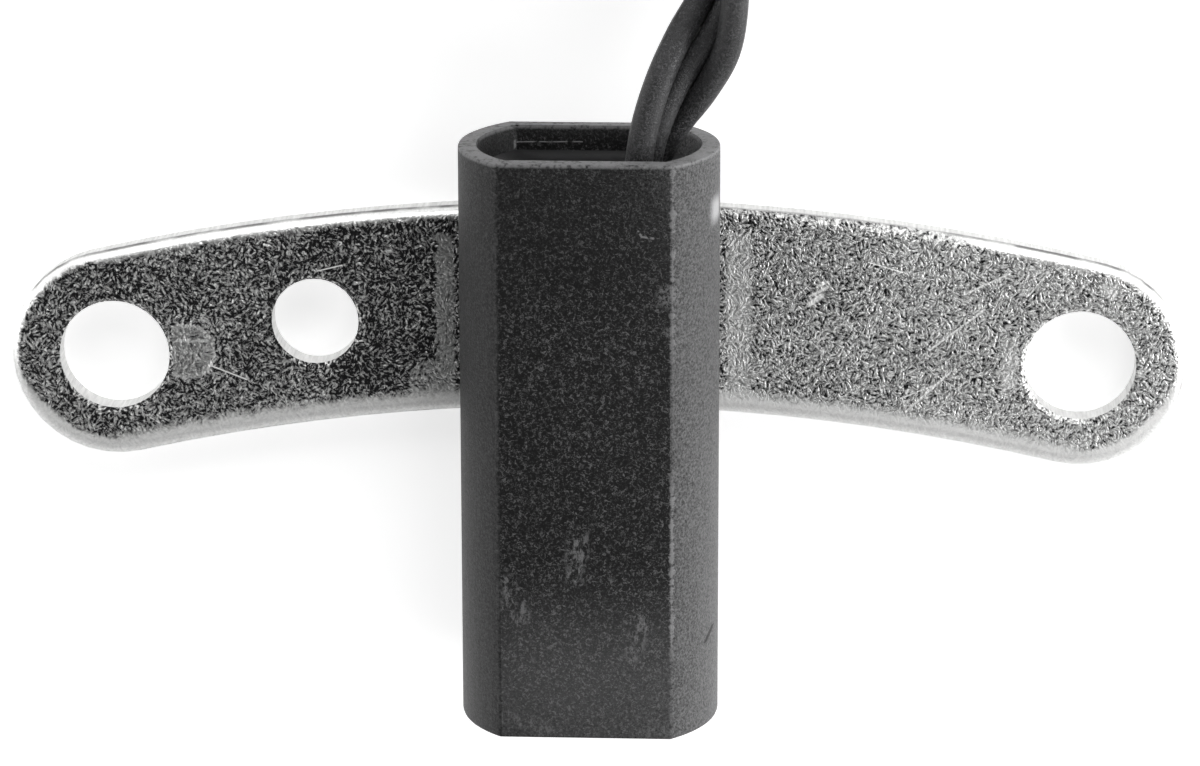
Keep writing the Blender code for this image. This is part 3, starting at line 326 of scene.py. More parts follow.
class Finish:
    """One material or world, and the nodes that it is made from."""

    def __init__(self, owner):
        self.owner = owner
        owner.use_nodes = True
        self.tree = owner.node_tree
        self.tree.nodes.clear()
        self._place = None

    def node(self, kind, settings=None, sockets=None):
        """Add a node of a kind, set its settings, then give its sockets their values or links."""
        node = self.tree.nodes.new(kind)
        for name, value in (settings or {}).items():
            setattr(node, name, value)
        for name, value in (sockets or {}).items():
            self.feed(node.inputs[name], value)
        return node

    def feed(self, socket, value):
        """Link a socket to a value, or set it."""
        if isinstance(value, Value):
            self.tree.links.new(value.socket, socket)
        elif isinstance(value, bpy.types.NodeSocket):
            self.tree.links.new(value, socket)
        elif socket.type == "RGBA":
            socket.default_value = opaque(value)
        else:
            socket.default_value = value

    def vector(self, operation, sockets):
        """Return a vector worked out from others."""
        return self.node("ShaderNodeVectorMath", {"operation": operation}, sockets).outputs["Vector"]

    def place(self):
        """Return the place on the surface in millimetres, as a vector."""
        if self._place is None:
            source = self.node("ShaderNodeTexCoord").outputs["Object"]
            self._place = self.vector("SCALE", {0: source, "Scale": 1.0 / MM})
        return self._place

    def parts(self, vector):
        """Return a vector's three numbers."""
        node = self.node("ShaderNodeSeparateXYZ", {}, {"Vector": vector})
        return [Value(self, node.outputs[axis]) for axis in "XYZ"]

    def across(self):
        """Return the place's X, Y and Z in millimetres."""
        return self.parts(self.place())

    def facing(self):
        """Return the surface normal's X, Y and Z."""
        return self.parts(self.node("ShaderNodeNewGeometry").outputs["Normal"])

    def noise(self, scale, detail=2.0, roughness=0.5, distortion=0.0, where=None, stretch=None):
        """Return a soft random value from 0 to 1, with its scale in features to the millimetre."""
        where = where or self.place()
        if stretch:
            where = self.vector("MULTIPLY", {0: where, 1: stretch})
        sockets = {"Vector": where, "Scale": scale, "Detail": detail}
        sockets.update({"Roughness": roughness, "Distortion": distortion})
        return Value(self, self.node("ShaderNodeTexNoise", {}, sockets).outputs["Fac"])

    def cells(self, scale, where=None):
        """Return a field of random cells: the node itself."""
        return self.node("ShaderNodeTexVoronoi", {}, {"Vector": where or self.place(), "Scale": scale})

    def blend(self, share, first, second):
        """Return a colour between two colours."""
        return self.node("ShaderNodeMix", {"data_type": "RGBA"}, {0: share, 6: first, 7: second}).outputs[2]

    def shades(self, share, colour, dark, light):
        """Return a colour between two tints of a colour."""
        return self.blend(share, tinted(colour, dark), tinted(colour, light))

    def disc(self, centre, radius, soft):
        """Return a mask that is 1 within a circle, seen down the Z axis."""
        x, y, _ = self.across()
        span = ((x - centre[0]).square() + (y - centre[1]).square()).root()
        return span.fall(radius - soft, radius + soft)

    def stroke(self, start, end, width):
        """Return a mask that is 1 along a scratch from start to end, seen down the Z axis."""
        x, y, _ = self.across()
        run = (end[0] - start[0], end[1] - start[1])
        share = ((x - start[0]) * run[0] + (y - start[1]) * run[1]) / (run[0] ** 2 + run[1] ** 2)
        share = share.held()
        off_x = x - start[0] - share * run[0]
        off_y = y - start[1] - share * run[1]
        return (off_x.square() + off_y.square()).root().fall(width * 0.3, width)

    def strokes(self, marks):
        """Return a mask that is 1 along any of several scratches."""
        return strongest(*(self.stroke(*mark) for mark in marks))

    def surface(self, colour, roughness, relief, metallic=0.0, **constants):
        """Close the material. Its relief is a height, its depth in millimetres and its strength."""
        height, depth, strength = relief
        bump = {"Height": height, "Distance": depth * MM, "Strength": strength}
        normal = self.node("ShaderNodeBump", {}, bump).outputs["Normal"]
        sockets = {"Base Color": colour, "Roughness": roughness, "Metallic": metallic, "Normal": normal}
        sockets.update({name.replace("_", " "): value for name, value in constants.items()})
        shader = self.node("ShaderNodeBsdfPrincipled", {}, sockets)
        self.node("ShaderNodeOutputMaterial", {}, {"Surface": shader.outputs["BSDF"]})
        return self.owner


def opaque(colour):
    """Return a colour with an alpha of 1."""
    return (*tuple(colour)[:3], 1.0)


def tinted(colour, factor):
    """Return a colour made lighter or darker."""
    return tuple(min(1.0, part * factor) for part in tuple(colour)[:3])


def new_finish(name):
    """Return an empty material's finish."""
    return Finish(bpy.data.materials.new(name))


def dress(obj, material):
    """Give an object its material, in every slot."""
    if not obj.material_slots:
        obj.data.materials.append(material)
    for slot in obj.material_slots:
        slot.material = material


def smoothing_group():
    """Return the modifier nodes that weld a node's facets and shade them smooth between sharp edges."""
    name = "smooth_between_edges"
    if name in bpy.data.node_groups:
        return bpy.data.node_groups[name]
    group = bpy.data.node_groups.new(name, "GeometryNodeTree")
    for direction in ("INPUT", "OUTPUT"):
        group.interface.new_socket("Mesh", in_out=direction, socket_type="NodeSocketGeometry")
    kinds = (
        "NodeGroupInput",
        "GeometryNodeRemoveAttribute",
        "GeometryNodeMergeByDistance",
        "GeometryNodeSetShadeSmooth",
        "GeometryNodeSetShadeSmooth",
        "NodeGroupOutput",
    )
    chain = [group.nodes.new(kind) for kind in kinds]
    for first, second in zip(chain, chain[1:]):
        group.links.new(first.outputs[0], second.inputs[0])
    _, forget, merge, _, edges, _ = chain
    forget.inputs["Name"].default_value = "custom_normal"
    merge.inputs["Distance"].default_value = WELD_DISTANCE
    edges.domain = "EDGE"
    angle = group.nodes.new("GeometryNodeInputMeshEdgeAngle")
    flat = group.nodes.new("ShaderNodeMath")
    flat.operation = "LESS_THAN"
    flat.inputs[1].default_value = math.radians(NODE_SHARP_ANGLE)
    group.links.new(angle.outputs["Unsigned Angle"], flat.inputs[0])
    group.links.new(flat.outputs[0], edges.inputs["Shade Smooth"])
    return group


def dress_node(name, material):
    """Give a node of the frame its material and smooth shading."""
    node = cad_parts[name]
    dress(node, material)
    node.modifiers.new("smooth", "NODES").node_group = smoothing_group()


def add_object(name, data):
    """Return a new object in the scene."""
    obj = bpy.data.objects.new(name, data)
    bpy.context.scene.collection.objects.link(obj)
    return obj


def add_mesh(name, bm):
    """Return a new object in the scene with a bmesh's faces."""
    mesh = bpy.data.meshes.new(name)
    bm.to_mesh(mesh)
    bm.free()
    return add_object(name, mesh)


def new_piece(name, bm, material):
    """Return a smooth-shaded piece from a bmesh, riding with the sensor."""
    bmesh.ops.recalc_face_normals(bm, faces=bm.faces)
    piece = add_mesh(name, bm)
    piece.data.shade_smooth()
    piece.data.set_sharp_from_angle(angle=math.radians(PIECE_SHARP_ANGLE))
    dress(piece, material)
    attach(piece, BODY)
    return piece


def bridge(bm, first, second):
    """Join two closed rows of as many vertices with a band of faces."""
    for a, b, c, d in zip(first, first[1:] + first[:1], second[1:] + second[:1], second):
        bm.faces.new((a, b, c, d))


def add_panel(name, place, target, size, watts):
    """Add a soft light panel that faces a target."""
    lamp = bpy.data.lights.new(name, "AREA")
    lamp.shape = "RECTANGLE"
    lamp.size, lamp.size_y = size
    lamp.energy = watts
    panel = add_object(name, lamp)
    panel.location = place
    panel.rotation_euler = (Vector(target) - Vector(place)).to_track_quat("-Z", "Y").to_euler()
    panel.visible_camera = False


def add_camera(context, studio):
    """Stand the camera where the photograph was taken from."""
    lens = bpy.data.cameras.new("camera")
    lens.sensor_width = 36.0
    lens.lens = studio.lens
    lens.clip_start = 0.01
    camera = add_object("camera", lens)
    camera.rotation_mode = "ZXY"
    camera.location = studio.camera_place
    camera.rotation_euler = studio.camera_turn
    context.scene.camera = camera


def add_floor(studio):
    """Lay a pale floor that adds a little light of its own to what is seen directly."""
    bm = bmesh.new()
    bmesh.ops.create_grid(bm, x_segments=2, y_segments=2, size=studio.floor_size / 2)
    floor = add_mesh("floor", bm)
    finish = new_finish("pale_floor")
    rays = finish.node("ShaderNodeLightPath")
    kinds = ("Is Camera Ray", "Is Glossy Ray", "Is Transmission Ray")
    camera, glossy, transmitted = (Value(finish, rays.outputs[kind]) for kind in kinds)
    matt = finish.node("ShaderNodeBsdfDiffuse", {}, {"Color": studio.floor_colour})
    glow = {"Color": (1.0, 1.0, 1.0), "Strength": (camera + glossy + transmitted) * studio.floor_glow}
    glow = finish.node("ShaderNodeEmission", {}, glow)
    both = finish.node("ShaderNodeAddShader", {}, {0: matt.outputs[0], 1: glow.outputs[0]})
    finish.node("ShaderNodeOutputMaterial", {}, {"Surface": both.outputs[0]})
    dress(floor, finish.owner)


def add_walls(context, studio):
    """Make the world a room with pale walls and a dark ceiling."""
    world = bpy.data.worlds.new("studio_room")
    context.scene.world = world
    finish = Finish(world)
    height = finish.parts(finish.node("ShaderNodeTexCoord").outputs["Generated"])[2]
    shade = finish.blend(height.fall(0.42, 0.75), (studio.ceiling,) * 3, studio.floor_colour)
    light = finish.node("ShaderNodeBackground", {}, {"Color": shade, "Strength": 1.0})
    finish.node("ShaderNodeOutputWorld", {}, {"Surface": light.outputs[0]})


def add_lights(studio):
    """Hang the soft panels."""
    middle = (0.0, 0.0, 0.01)
    add_panel("panel_right", (0.55, 0.02, 0.12), middle, (0.5, 0.26), studio.right_light)
    add_panel("panel_left", (-0.55, 0.05, 0.15), middle, (0.5, 0.26), studio.left_light)
    add_panel("panel_back", (0.05, 0.6, 0.3), middle, (0.7, 0.3), studio.back_light)
    add_panel("panel_top", (0.26, -0.12, 0.5), middle, (0.3, 0.3), studio.top_light)
    add_panel("panel_near", (0.09, -0.065, 0.26), (0.02, 0.0, 0.0), (0.14, 0.12), studio.near_light)


class SENSOR_OT_studio(bpy.types.Operator):
    """Set the camera, the floor, the walls and the lights."""

    bl_idname = "sensor.studio"
    bl_label = "Studio"

    def execute(self, context):
        studio = context.scene.sensor_studio
        add_camera(context, studio)
        add_floor(studio)
        add_walls(context, studio)
        add_lights(studio)
        context.scene.view_settings.view_transform = "Standard"
        return {"FINISHED"}


def wire_spacing():
    """Return the spacing of neighbouring wires."""
    wires = bpy.context.scene.sensor_wires
    return wires.spacing_ratio * wires.diameter


def coil_facts():
    """Return the coil's centre, how far its straight ends reach, and its low and high levels."""
    wires = bpy.context.scene.sensor_wires
    run = math.sqrt(2 * wires.coil_radius * wires.bundle) + CLEARANCE
    low = SURFACE_LIFT + wires.bundle / 2
    centre = Vector((CONNECTOR_X - wires.coil_radius, MOUTH_Y + LEAD_REACH + run, 0.0))
    return centre, run, low, low + wires.turns * wires.bundle


def lead_stations():
    """Return the bundle's centre, turn, fold and spacing from the board to the coil."""
    spacing = wire_spacing()
    high = coil_facts()[3]
    mouth_rise = BORE_HALF_HEIGHT - spacing - bpy.context.scene.sensor_wires.diameter / 2
    start = BOARD_TOP_Y - WIRE_PAD_LENGTH
    rise = start + (POTTING_TOP_Y - start) * WIRE_RISE_SHARE
    stations = [(Vector((WIRE_ROW_X, y, PROBE_AXIS_Z)), 90, 0, spacing) for y in (start, rise)]
    for across, along, up, join, turn, fold in LEAD_STATIONS:
        x = MOUTH_X + (CONNECTOR_X - MOUTH_X) * across
        y = MOUTH_Y + LEAD_REACH * along
        z = (PROBE_AXIS_Z + mouth_rise * up) * (1 - join) + high * join
        stations.append((Vector((x, y, z)), turn, fold, spacing))
    return stations


def coil_stations():
    """Return the stations of the coil: each turn steps down a level at its start, then lies flat."""
    wires = bpy.context.scene.sensor_wires
    centre, run, low, high = coil_facts()
    steps = COIL_STEPS * wires.turns
    places = [Vector((CONNECTOR_X, centre.y - run * share, high)) for share in (1.0, 0.66, 0.33)]
    for step in range(steps + 1):
        angle = 2 * math.pi * wires.turns * step / steps
        turn, part = divmod(angle, 2 * math.pi)
        down = min(1.0, part / wires.step_arc)
        level = max(0.0, wires.turns - turn - down * down * (3 - 2 * down))
        spoke = Vector((math.cos(angle), math.sin(angle), 0.0))
        places.append(centre + spoke * wires.coil_radius + Vector((0.0, 0.0, low + level * wires.bundle)))
    places += [Vector((CONNECTOR_X, centre.y + run * share, low)) for share in (0.33, 0.66, 1.0)]
    lengths = lengths_along(places)
    first_turn = LEAD_STATIONS[-1][4]
    twist = 180 + 360 * wires.twists - first_turn
    spacing = wire_spacing()
    stations = [
        (place, first_turn + twist * length / lengths[-1], COIL_FOLD, spacing)
        for place, length in zip(places, lengths)
    ]
    return stations[1:-1]


def tail_stations():
    """Return the stations from the coil to the crimps."""
    spacing = wire_spacing()
    centre, run, low, _ = coil_facts()
    start = centre.y + run
    stations = []
    for along, up, fold, spread in TAIL_STATIONS:
        place = Vector((CONNECTOR_X, start + TAIL_REACH * along, low + (CONNECTOR_Z - low) * up))
        apart = spacing + (CAVITY_PITCH - spacing) * spread
        stations.append((place, 180, fold, apart))
    end = Vector((CONNECTOR_X, start + TAIL_REACH + SEAL_POCKET_DEPTH - CLEARANCE, CONNECTOR_Z))
    stations.append((end, 180, 0, CAVITY_PITCH))
    return stations


def wire_routes(stations):
    """Set the three wires off from the bundle's centre, in the plane across it at each station."""
    centres = [station[0] for station in stations]
    behind = [centres[0]] + centres[:-1]
    ahead = centres[1:] + [centres[-1]]
    routes = ([], [], [])
    for (centre, turn, fold, spacing), last, following in zip(stations, behind, ahead):
        heading = (following - last).normalized()
        right = heading.cross(Vector((0.0, 0.0, 1.0))).normalized()
        up = right.cross(heading)
        angle = math.radians(turn)
        row = right * math.cos(angle) + up * math.sin(angle)
        side = up * math.cos(angle) - right * math.sin(angle)
        reach = row * spacing * math.cos(math.radians(fold))
        lean = side * spacing * math.sin(math.radians(fold))
        routes[0].append(centre + reach - lean / 3)
        routes[1].append(centre + lean * 2 / 3)
        routes[2].append(centre - reach - lean / 3)
    return [evenly_spaced(smooth_line(route), WIRE_POINT_SPACING) for route in routes]


def slope(before, here, after):
    """Return a smooth curve's direction at a point, weighed by the distances to its neighbours."""
    first = (here - before).length
    second = (after - here).length
    return ((here - before) * second / first + (after - here) * first / second) / (first + second)


def smooth_line(knots, samples=12):
    """Return close points of a smooth curve through the knots of a route."""
    knots = [2 * knots[0] - knots[1]] + knots + [2 * knots[-1] - knots[-2]]
    fine = [knots[1]]
    for before, start, end, after in zip(knots, knots[1:], knots[2:], knots[3:]):
        span = (end - start).length
        leaving = slope(before, start, end) * span
        arriving = slope(start, end, after) * span
        for sample in range(1, samples + 1):
            t = sample / samples
            rest = 1 - t
            ends = start * (1 + 2 * t) * rest**2 + end * (1 + 2 * rest) * t**2
            fine.append(ends + leaving * t * rest**2 - arriving * rest * t**2)
    return fine


def evenly_spaced(points, spacing):
    """Return points at about equal distances along a chain of points."""
    lengths = lengths_along(points)
    count = max(2, round(lengths[-1] / spacing))
    chosen = [points[0]]
    index = 0
    for step in range(1, count):
        target = lengths[-1] * step / count
        while lengths[index + 1] < target:
            index += 1
        share = (target - lengths[index]) / (lengths[index + 1] - lengths[index])
        chosen.append(points[index].lerp(points[index + 1], share))
    chosen.append(points[-1])
    return chosen


def lengths_along(points):
    """Return how far each of a chain of points lies along it."""
    lengths = [0.0]
    for first, second in zip(points, points[1:]):
        lengths.append(lengths[-1] + (second - first).length)
    return lengths


def lay_wire(name, route, diameter, material):
    """Lay a wire as one smooth round curve through its route."""
    curve = bpy.data.curves.new(name, "CURVE")
    curve.dimensions = "3D"
    curve.resolution_u = 6
    curve.bevel_depth = diameter / 2
    curve.bevel_resolution = 5
    curve.use_fill_caps = True
    spline = curve.splines.new("BEZIER")
    spline.bezier_points.add(len(route) - 1)
    before = [route[0]] + route[:-1]
    after = route[1:] + [route[-1]]
    for point, place, last, following in zip(spline.bezier_points, route, before, after):
        lean = (following - last) / 6
        point.handle_left_type = "FREE"
        point.handle_right_type = "FREE"
        point.co = place
        point.handle_left = place - lean
        point.handle_right = place + lean
    wire = add_object(name, curve)
    dress(wire, material)
    return wire


def insulation_finish(colour):
    """Return a wire's soft extruded insulation, with fine grain and dust."""
    finish = new_finish("wire_insulation")
    grain = finish.noise(9.0, 3.0, 0.6)
    dust = finish.noise(0.9, 4.0, 0.6).rise(0.45, 0.7)
    fleck = finish.noise(7.5, 2.0, 0.75, distortion=0.8).rise(0.44, 0.68)
    base = finish.shades(grain, colour, 0.6, 1.3)
    base = finish.blend(fleck * (0.6 + dust * 0.4), base, tinted(colour, 5.6))
    return finish.surface(base, 0.34 + dust * 0.12 + grain * 0.08, (grain * 0.5 + fleck, 0.035, 1.0))


class SENSOR_OT_wires(bpy.types.Operator):
    """Lay the three wires from the board through the mouth and the coil to the connector."""

    bl_idname = "sensor.wires"
    bl_label = "Wires"

    def execute(self, context):
        wires = context.scene.sensor_wires
        material = insulation_finish(wires.colour)
        routes = wire_routes(lead_stations() + coil_stations() + tail_stations())
        for index, route in enumerate(routes):
            number = index + 1
            wire = lay_wire(f"wire_{number}", route, wires.diameter, material)
            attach(wire, BODY)
            stood_for = [f"wire_{number}_lead", f"wire_{number}_tail"]
            held = [f"terminal_{number}", f"wire_seal_{number}"]
            if index == 1:
                stood_for.append("wire_coil")
                held += ["connector_housing", "terminal_lock"]
            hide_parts(*stood_for)
        return {"FINISHED"}


def streaks(finish, cells, stretch, offset):
    """Return short fine streaks, each patch of them laid in a direction of its own."""
    where = finish.vector("ADD", {0: finish.place(), 1: (offset, offset * 0.6, 0.0)})
    patch = finish.cells(cells, where).outputs["Color"]
    lean = Value(finish, finish.node("ShaderNodeSeparateColor", {}, {"Color": patch}).outputs[0])
    sockets = {"Vector": where, "Axis": (0.0, 0.0, 1.0), "Angle": lean * 6.283}
    turned = finish.node("ShaderNodeVectorRotate", {"rotation_type": "AXIS_ANGLE"}, sockets)
    return finish.noise(1.0, 1.5, 0.5, where=turned.outputs["Vector"], stretch=stretch)


def zinc_finish(metal):
    """Return crystalline zinc with sheared edges, rubbed marks and scratches, and painted light: the right
    wing lighter, a painted reflection of the probe on the left wing, painted highlights on the rolled border
    and painted shade lines along its edges.
    """
    finish = new_finish("zinc_plating")
    x, _, z = finish.across()
    _, lean, lift = finish.facing()
    side = abs(lift).fall(0.12, 0.3)
    front = z.rise(0.4, 1.0)
    # Painted light: the bracket is made lighter towards its right wing, where the light falls more strongly
    right = x.rise(-9.0, 21.0)
    # Painted reflection: the left wing is made darker beside the probe, standing in for the probe's dark body
    # mirrored in the plate
    painted_probe_reflection = abs(x + 13.0).fall(1.0, 6.5) * x.fall(-9.0, -8.0)

    size = 0.0006 / metal.crystal
    first = streaks(finish, 1.5 * size, (1.4 * size, 4.6 * size, 1.0), 3.0)
    second = streaks(finish, 1.9 * size, (1.6 * size, 5.2 * size, 1.0), 47.0)
    grit = finish.noise(4.0 * size, 2.0, 0.7, distortion=1.0)
    crystals = (first + second - 1.0) * 3.0 + (grit - 0.5) * 2.0
    cloud = finish.noise(0.3, 3.0, 0.55)
    speckle = finish.noise(9.0, 3.0, 0.6)
    # The crystals' tone, with painted light that lightens it towards the right wing and the painted
    # reflection that darkens it beside the probe
    bright = crystals * (0.78 - right * 0.06) + 0.18 + (cloud - 0.5) * 0.4 + right * 0.33 - painted_probe_reflection * 0.12

    roll, under, painted_shade_line = (mask * front for mask in strip_edges(finish))
    # Painted highlight: the rolled border gets a light tone, lighter where it faces +Y and on its lower part,
    # standing in for the light it catches
    painted_roll_highlight = 0.48 + lean.rise(-0.2, 0.2) * 0.4 + under * 0.25 + speckle * 0.15
    bright = bright * (1.0 - roll * 0.85) + roll * painted_roll_highlight
    rubbed, drawn = (mask * front for mask in rubbed_places(finish))
    # The rubbed places are also made lighter towards the right wing: painted light
    bright = bright * (1.0 - rubbed * 0.5) + rubbed * (0.27 + speckle * 0.4 + right * 0.18) + drawn * 0.45
    scratches = finish.strokes(SCRATCHES) * finish.noise(3.0, 2.0).rise(0.2, 0.45) * front
    shear = finish.noise(1.0, 3.0, 0.6, stretch=(5.0, 5.0, 0.35))
    bright = bright.at_least(scratches) * (1.0 - side) + side * (0.42 + shear * 0.6)
    # Painted shade: the lines along the edges are darkened
    bright = (bright * (1.0 - painted_shade_line * 0.85)).held()

    colour = finish.blend(bright, metal.zinc_dark, metal.zinc_light)
    rough = 0.32 - bright * 0.05 + speckle * 0.06 + side * 0.12 + roll * 0.08 + under * 0.1
    height = (first + second + grit * 0.5 - 1.25) * (1.0 - roll.at_least(side) * 0.85) * (1.0 - rubbed * 0.35)
    height = height + shear * side * 0.5 - scratches * 0.3
    metallic = 1.0 - (scratches * 0.8).at_least(under * 0.6)
    return finish.surface(colour, rough, (height, 0.1, 1.0), metallic)


def rubbed_places(finish):
    """Return masks of the places rubbed smooth, and of the line drawn round and across the half-disc.

    The places are bands beside the probe, a disc, the half-disc, and patches beside the right bolt hole.
    """
    x, y, _ = finish.across()
    worn = (finish.noise(1.6, 3.0, 0.7) - 0.5) * 1.1
    left_band = (x + worn).rise(-10.2, -9.8) * (x + worn * 0.4).fall(-9.0, -8.7)
    left_band = left_band * y.rise(-2.9, -2.5) * y.fall(8.0, 8.3)
    right_band = (x + worn).rise(8.0, 8.45) * (x + worn * 0.5).fall(9.6, 10.0)
    right_band = right_band * y.rise(-2.4, -2.0) * y.fall(8.2, 8.6)
    spot = finish.disc((-10.32, -1.51), 1.45, 0.1) * y.rise(-2.45, -2.3) * 0.8
    half = x.rise(*HALF_DISC_EDGE)
    half_disc = finish.disc(HALF_DISC, 1.78, 0.12) * half * 0.8
    patch = abs(x - 26.05).fall(0.25, 0.7) * abs(y).fall(1.2, 2.0)
    ear_patch = finish.disc((32.2, 4.99), 0.55, 0.25)
    outline = finish.disc(HALF_DISC, 1.85, 0.08) - finish.disc(HALF_DISC, 1.65, 0.08)
    line_across = abs(y - 1.0).fall(0.05, 0.14) * finish.disc(HALF_DISC, 1.8, 0.1)
    drawn = outline.at_least(line_across) * half * finish.noise(2.0, 2.0).rise(0.3, 0.5)
    return strongest(left_band, right_band, spot, half_disc, patch, ear_patch), drawn


def strip_edges(finish):
    """Return masks of the strip's rolled border, of its lower part, and of the painted shade lines below its
    upper roll and along its lower edge.
    """
    x, y, z = finish.across()
    end = BOLT_SPACING / 2
    half = STRIP_WIDTH / 2
    radius = (end**2 + STRIP_RISE**2) / (2 * STRIP_RISE)
    arc = (x.square() + (y + radius - STRIP_RISE).square()).root() - radius
    past = ((abs(x) - end).at_least(0.0).square() + y.square()).root()
    ragged = (finish.noise(2.2, 3.0, 0.6) - 0.5) * 0.5
    strip = abs(x).fall(end + 0.2, end + 0.6)
    late = x.rise(4.0, 9.0) * x.fall(19.0, 27.0)
    upper = (arc + ragged - late * 0.8).rise(half - 0.85, half - 0.35) * strip
    lower = (ragged * 1.6 - arc).rise(half - 1.9, half - 0.9) * strip
    ear = (past + ragged + y.fall(-4.0, 0.0) * 0.7).rise(half - 0.7, half - 0.25)
    ear = ear * abs(x).rise(end - 0.4, end)
    # Painted shade: a dark line where the upper roll turns down into the sheared side
    painted_shade_line = abs(z - 1.3).fall(0.1, 0.32) * arc.rise(5.0, 5.5)
    painted_shade_line = painted_shade_line * (0.4 + finish.noise(0.5, 2.0).rise(0.35, 0.6) * 0.5) * (1.0 - late * 0.5)
    # Painted shade: a dark line along the lower edge, on the left part of the strip
    painted_low_shade_line = (-1.0 * arc).rise(half - 0.2, half - 0.1) * strip * finish.noise(0.6, 2.0).rise(0.4, 0.55)
    under = lower.at_least(ear * y.fall(-4.0, -1.0))
    return strongest(upper, lower, ear), under, painted_shade_line.at_least(painted_low_shade_line * x.fall(0.0, 12.0) * 0.4)


def probe_finish(probe):
    """Return black moulding: speckled and scuffed on its front flat, finer on its round sides, with painted
    light on the right side, painted shade in the bore and a painted glint.
    """
    finish = new_finish("probe_moulding")
    x, y, z = finish.across()
    flat = finish.facing()[2].rise(0.97, 0.995)
    depth = z - PROBE_AXIS_Z / MM
    span = (x.square() + depth.square()).root()
    bore = span.fall(7.2, 7.4) * abs(depth).fall(5.2, 5.5) * y.rise(13.0, 13.4)

    grain = finish.noise(probe.grain * 1.6, 3.0, 0.65)
    speck = finish.noise(probe.grain, 2.0, 0.75, distortion=0.8).rise(0.5, 0.72)
    cloud = finish.noise(0.25, 3.0, 0.5)
    mottle = finish.noise(6.0, 3.0, 0.75)
    sides = finish.noise(1.0, 3.0, 0.5, stretch=(2.5, 0.22, 2.5))
    shine = grain.rise(0.52, 0.7)
    low = y.fall(-18.5, -9.0)
    speckled = (speck * (0.44 + cloud * 0.6) + shine * 0.32) * (1.0 - y.rise(3.0, 13.0) * 0.35)
    speckled = speckled + low * (0.19 + mottle * 0.44 + shine * 0.3)
    # The round sides: grain and mottle, plus painted light that makes the right side lighter towards +X; the
    # mottle is also stronger there
    grain_and_painted_light = (sides - 0.5) * 0.15 + (mottle - 0.5) * (1.3 + x.rise(0.0, 6.0) * 1.8) + (speck - 0.3) * 0.1
    grain_and_painted_light = grain_and_painted_light + x.rise(1.0, 8.5) * 0.54 + 0.11 + y.fall(-20.0, 12.0) * 0.04
    # Painted shade: the inside of the bore is made darker
    light = (flat * speckled + (1.0 - flat) * grain_and_painted_light - bore * 0.02).held()

    worn = probe_wear(finish, flat, bore, mottle)
    rim = y.rise(15.2, 15.42) * finish.noise(3.0, 2.0).rise(0.2, 0.55)
    slash = finish.stroke(*SLASH) * x.rise(6.9, 7.2) * z.rise(8.6, 9.0)
    glint = finish.disc(*GLINT) * x.rise(6.9, 7.5) * abs(z - 10.0).fall(0.3, 1.5)
    # The tone runs from the plastic to the rubbed colour; on the sides its light end carries the painted
    # light
    base = finish.blend(light, probe.plastic, probe.rubbed)
    base = finish.blend(worn * 0.8, base, tinted(probe.rubbed, 1.7))
    base = finish.blend(rim * 0.85, base, tinted(probe.rubbed, 1.55))
    base = finish.blend(slash, base, probe.plastic)
    base = finish.blend(glint * 0.8, base, tinted(probe.rubbed, 3.6))
    rough = 0.46 + grain * 0.12 - low * 0.03 + worn * 0.15
    height = grain * 0.5 + speck * 0.45 + worn * 0.5 + (sides * 0.5 + mottle * 0.6) * (1.0 - flat)
    return finish.surface(base, rough, (height, 0.045, 1.0), Specular_IOR_Level=0.28)


def probe_wear(finish, flat, bore, mottle):
    """Return a mask of the scuffs, the hooked scratch, the flat's worn edges and the lines in the mouth."""
    x, y, z = finish.across()
    torn = finish.noise(1.0, 3.0, 0.7, stretch=(3.4, 1.4, 1.0)).rise(0.46, 0.64)
    scuffs = finish.strokes(SCUFFS) * torn * 0.7
    hook = finish.strokes(HOOK) * finish.noise(4.0, 2.0).rise(0.3, 0.5)
    ragged = finish.noise(2.6, 3.0, 0.7, stretch=(0.5, 1.0, 0.5)) - 0.5
    nicks = (abs(x - RIGHT_EDGE_X) + ragged * 0.9).fall(0.0, 0.14)
    nicks = nicks * (0.2 + y.rise(2.0, 5.0) * 0.45 + y.fall(-6.0, -3.0) * y.rise(-16.0, -14.0) * 0.7)
    chips = strongest(*(finish.disc(*chip) for chip in CHIPS))
    chips = chips * mottle.rise(0.42, 0.56) * x.fall(RIGHT_EDGE_X + 0.1, RIGHT_EDGE_X + 0.6) * 0.55
    left = (abs(x - LEFT_EDGE_X) + ragged * 1.2).fall(-0.1, 0.1) * 0.12
    edges = strongest(nicks, chips, left) * z.rise(13.2, 13.9)
    back_wall = bore * (z - PROBE_AXIS_Z / MM).fall(-4.2, -3.6)
    lines = finish.strokes(MOUTH_LINES) * back_wall * finish.noise(2.5, 2.0).rise(0.35, 0.55)
    return strongest(scuffs.at_least(hook) * flat, edges, lines).at_most(1.0)


def resin_finish(probe):
    """Return poured resin with pinholes, which painted shade makes darker, and a faint ripple."""
    finish = new_finish("potting_resin")
    ripple = finish.noise(0.7)
    grain = finish.noise(7.0, 3.0, 0.6)
    pinholes_and_painted_shade = Value(finish, finish.cells(1.6).outputs["Distance"]).fall(0.03, 0.1)
    base = finish.blend(grain * 0.6, probe.resin, tinted(probe.resin, 2.2))
    # Painted shade: the pinholes are made darker inside
    base = finish.blend(pinholes_and_painted_shade, base, tinted(probe.resin, 0.4))
    relief = (ripple + grain * 0.12 - pinholes_and_painted_shade * 0.8, 0.08, 0.7)
    return finish.surface(base, 0.24 + grain * 0.16 + pinholes_and_painted_shade * 0.2, relief)


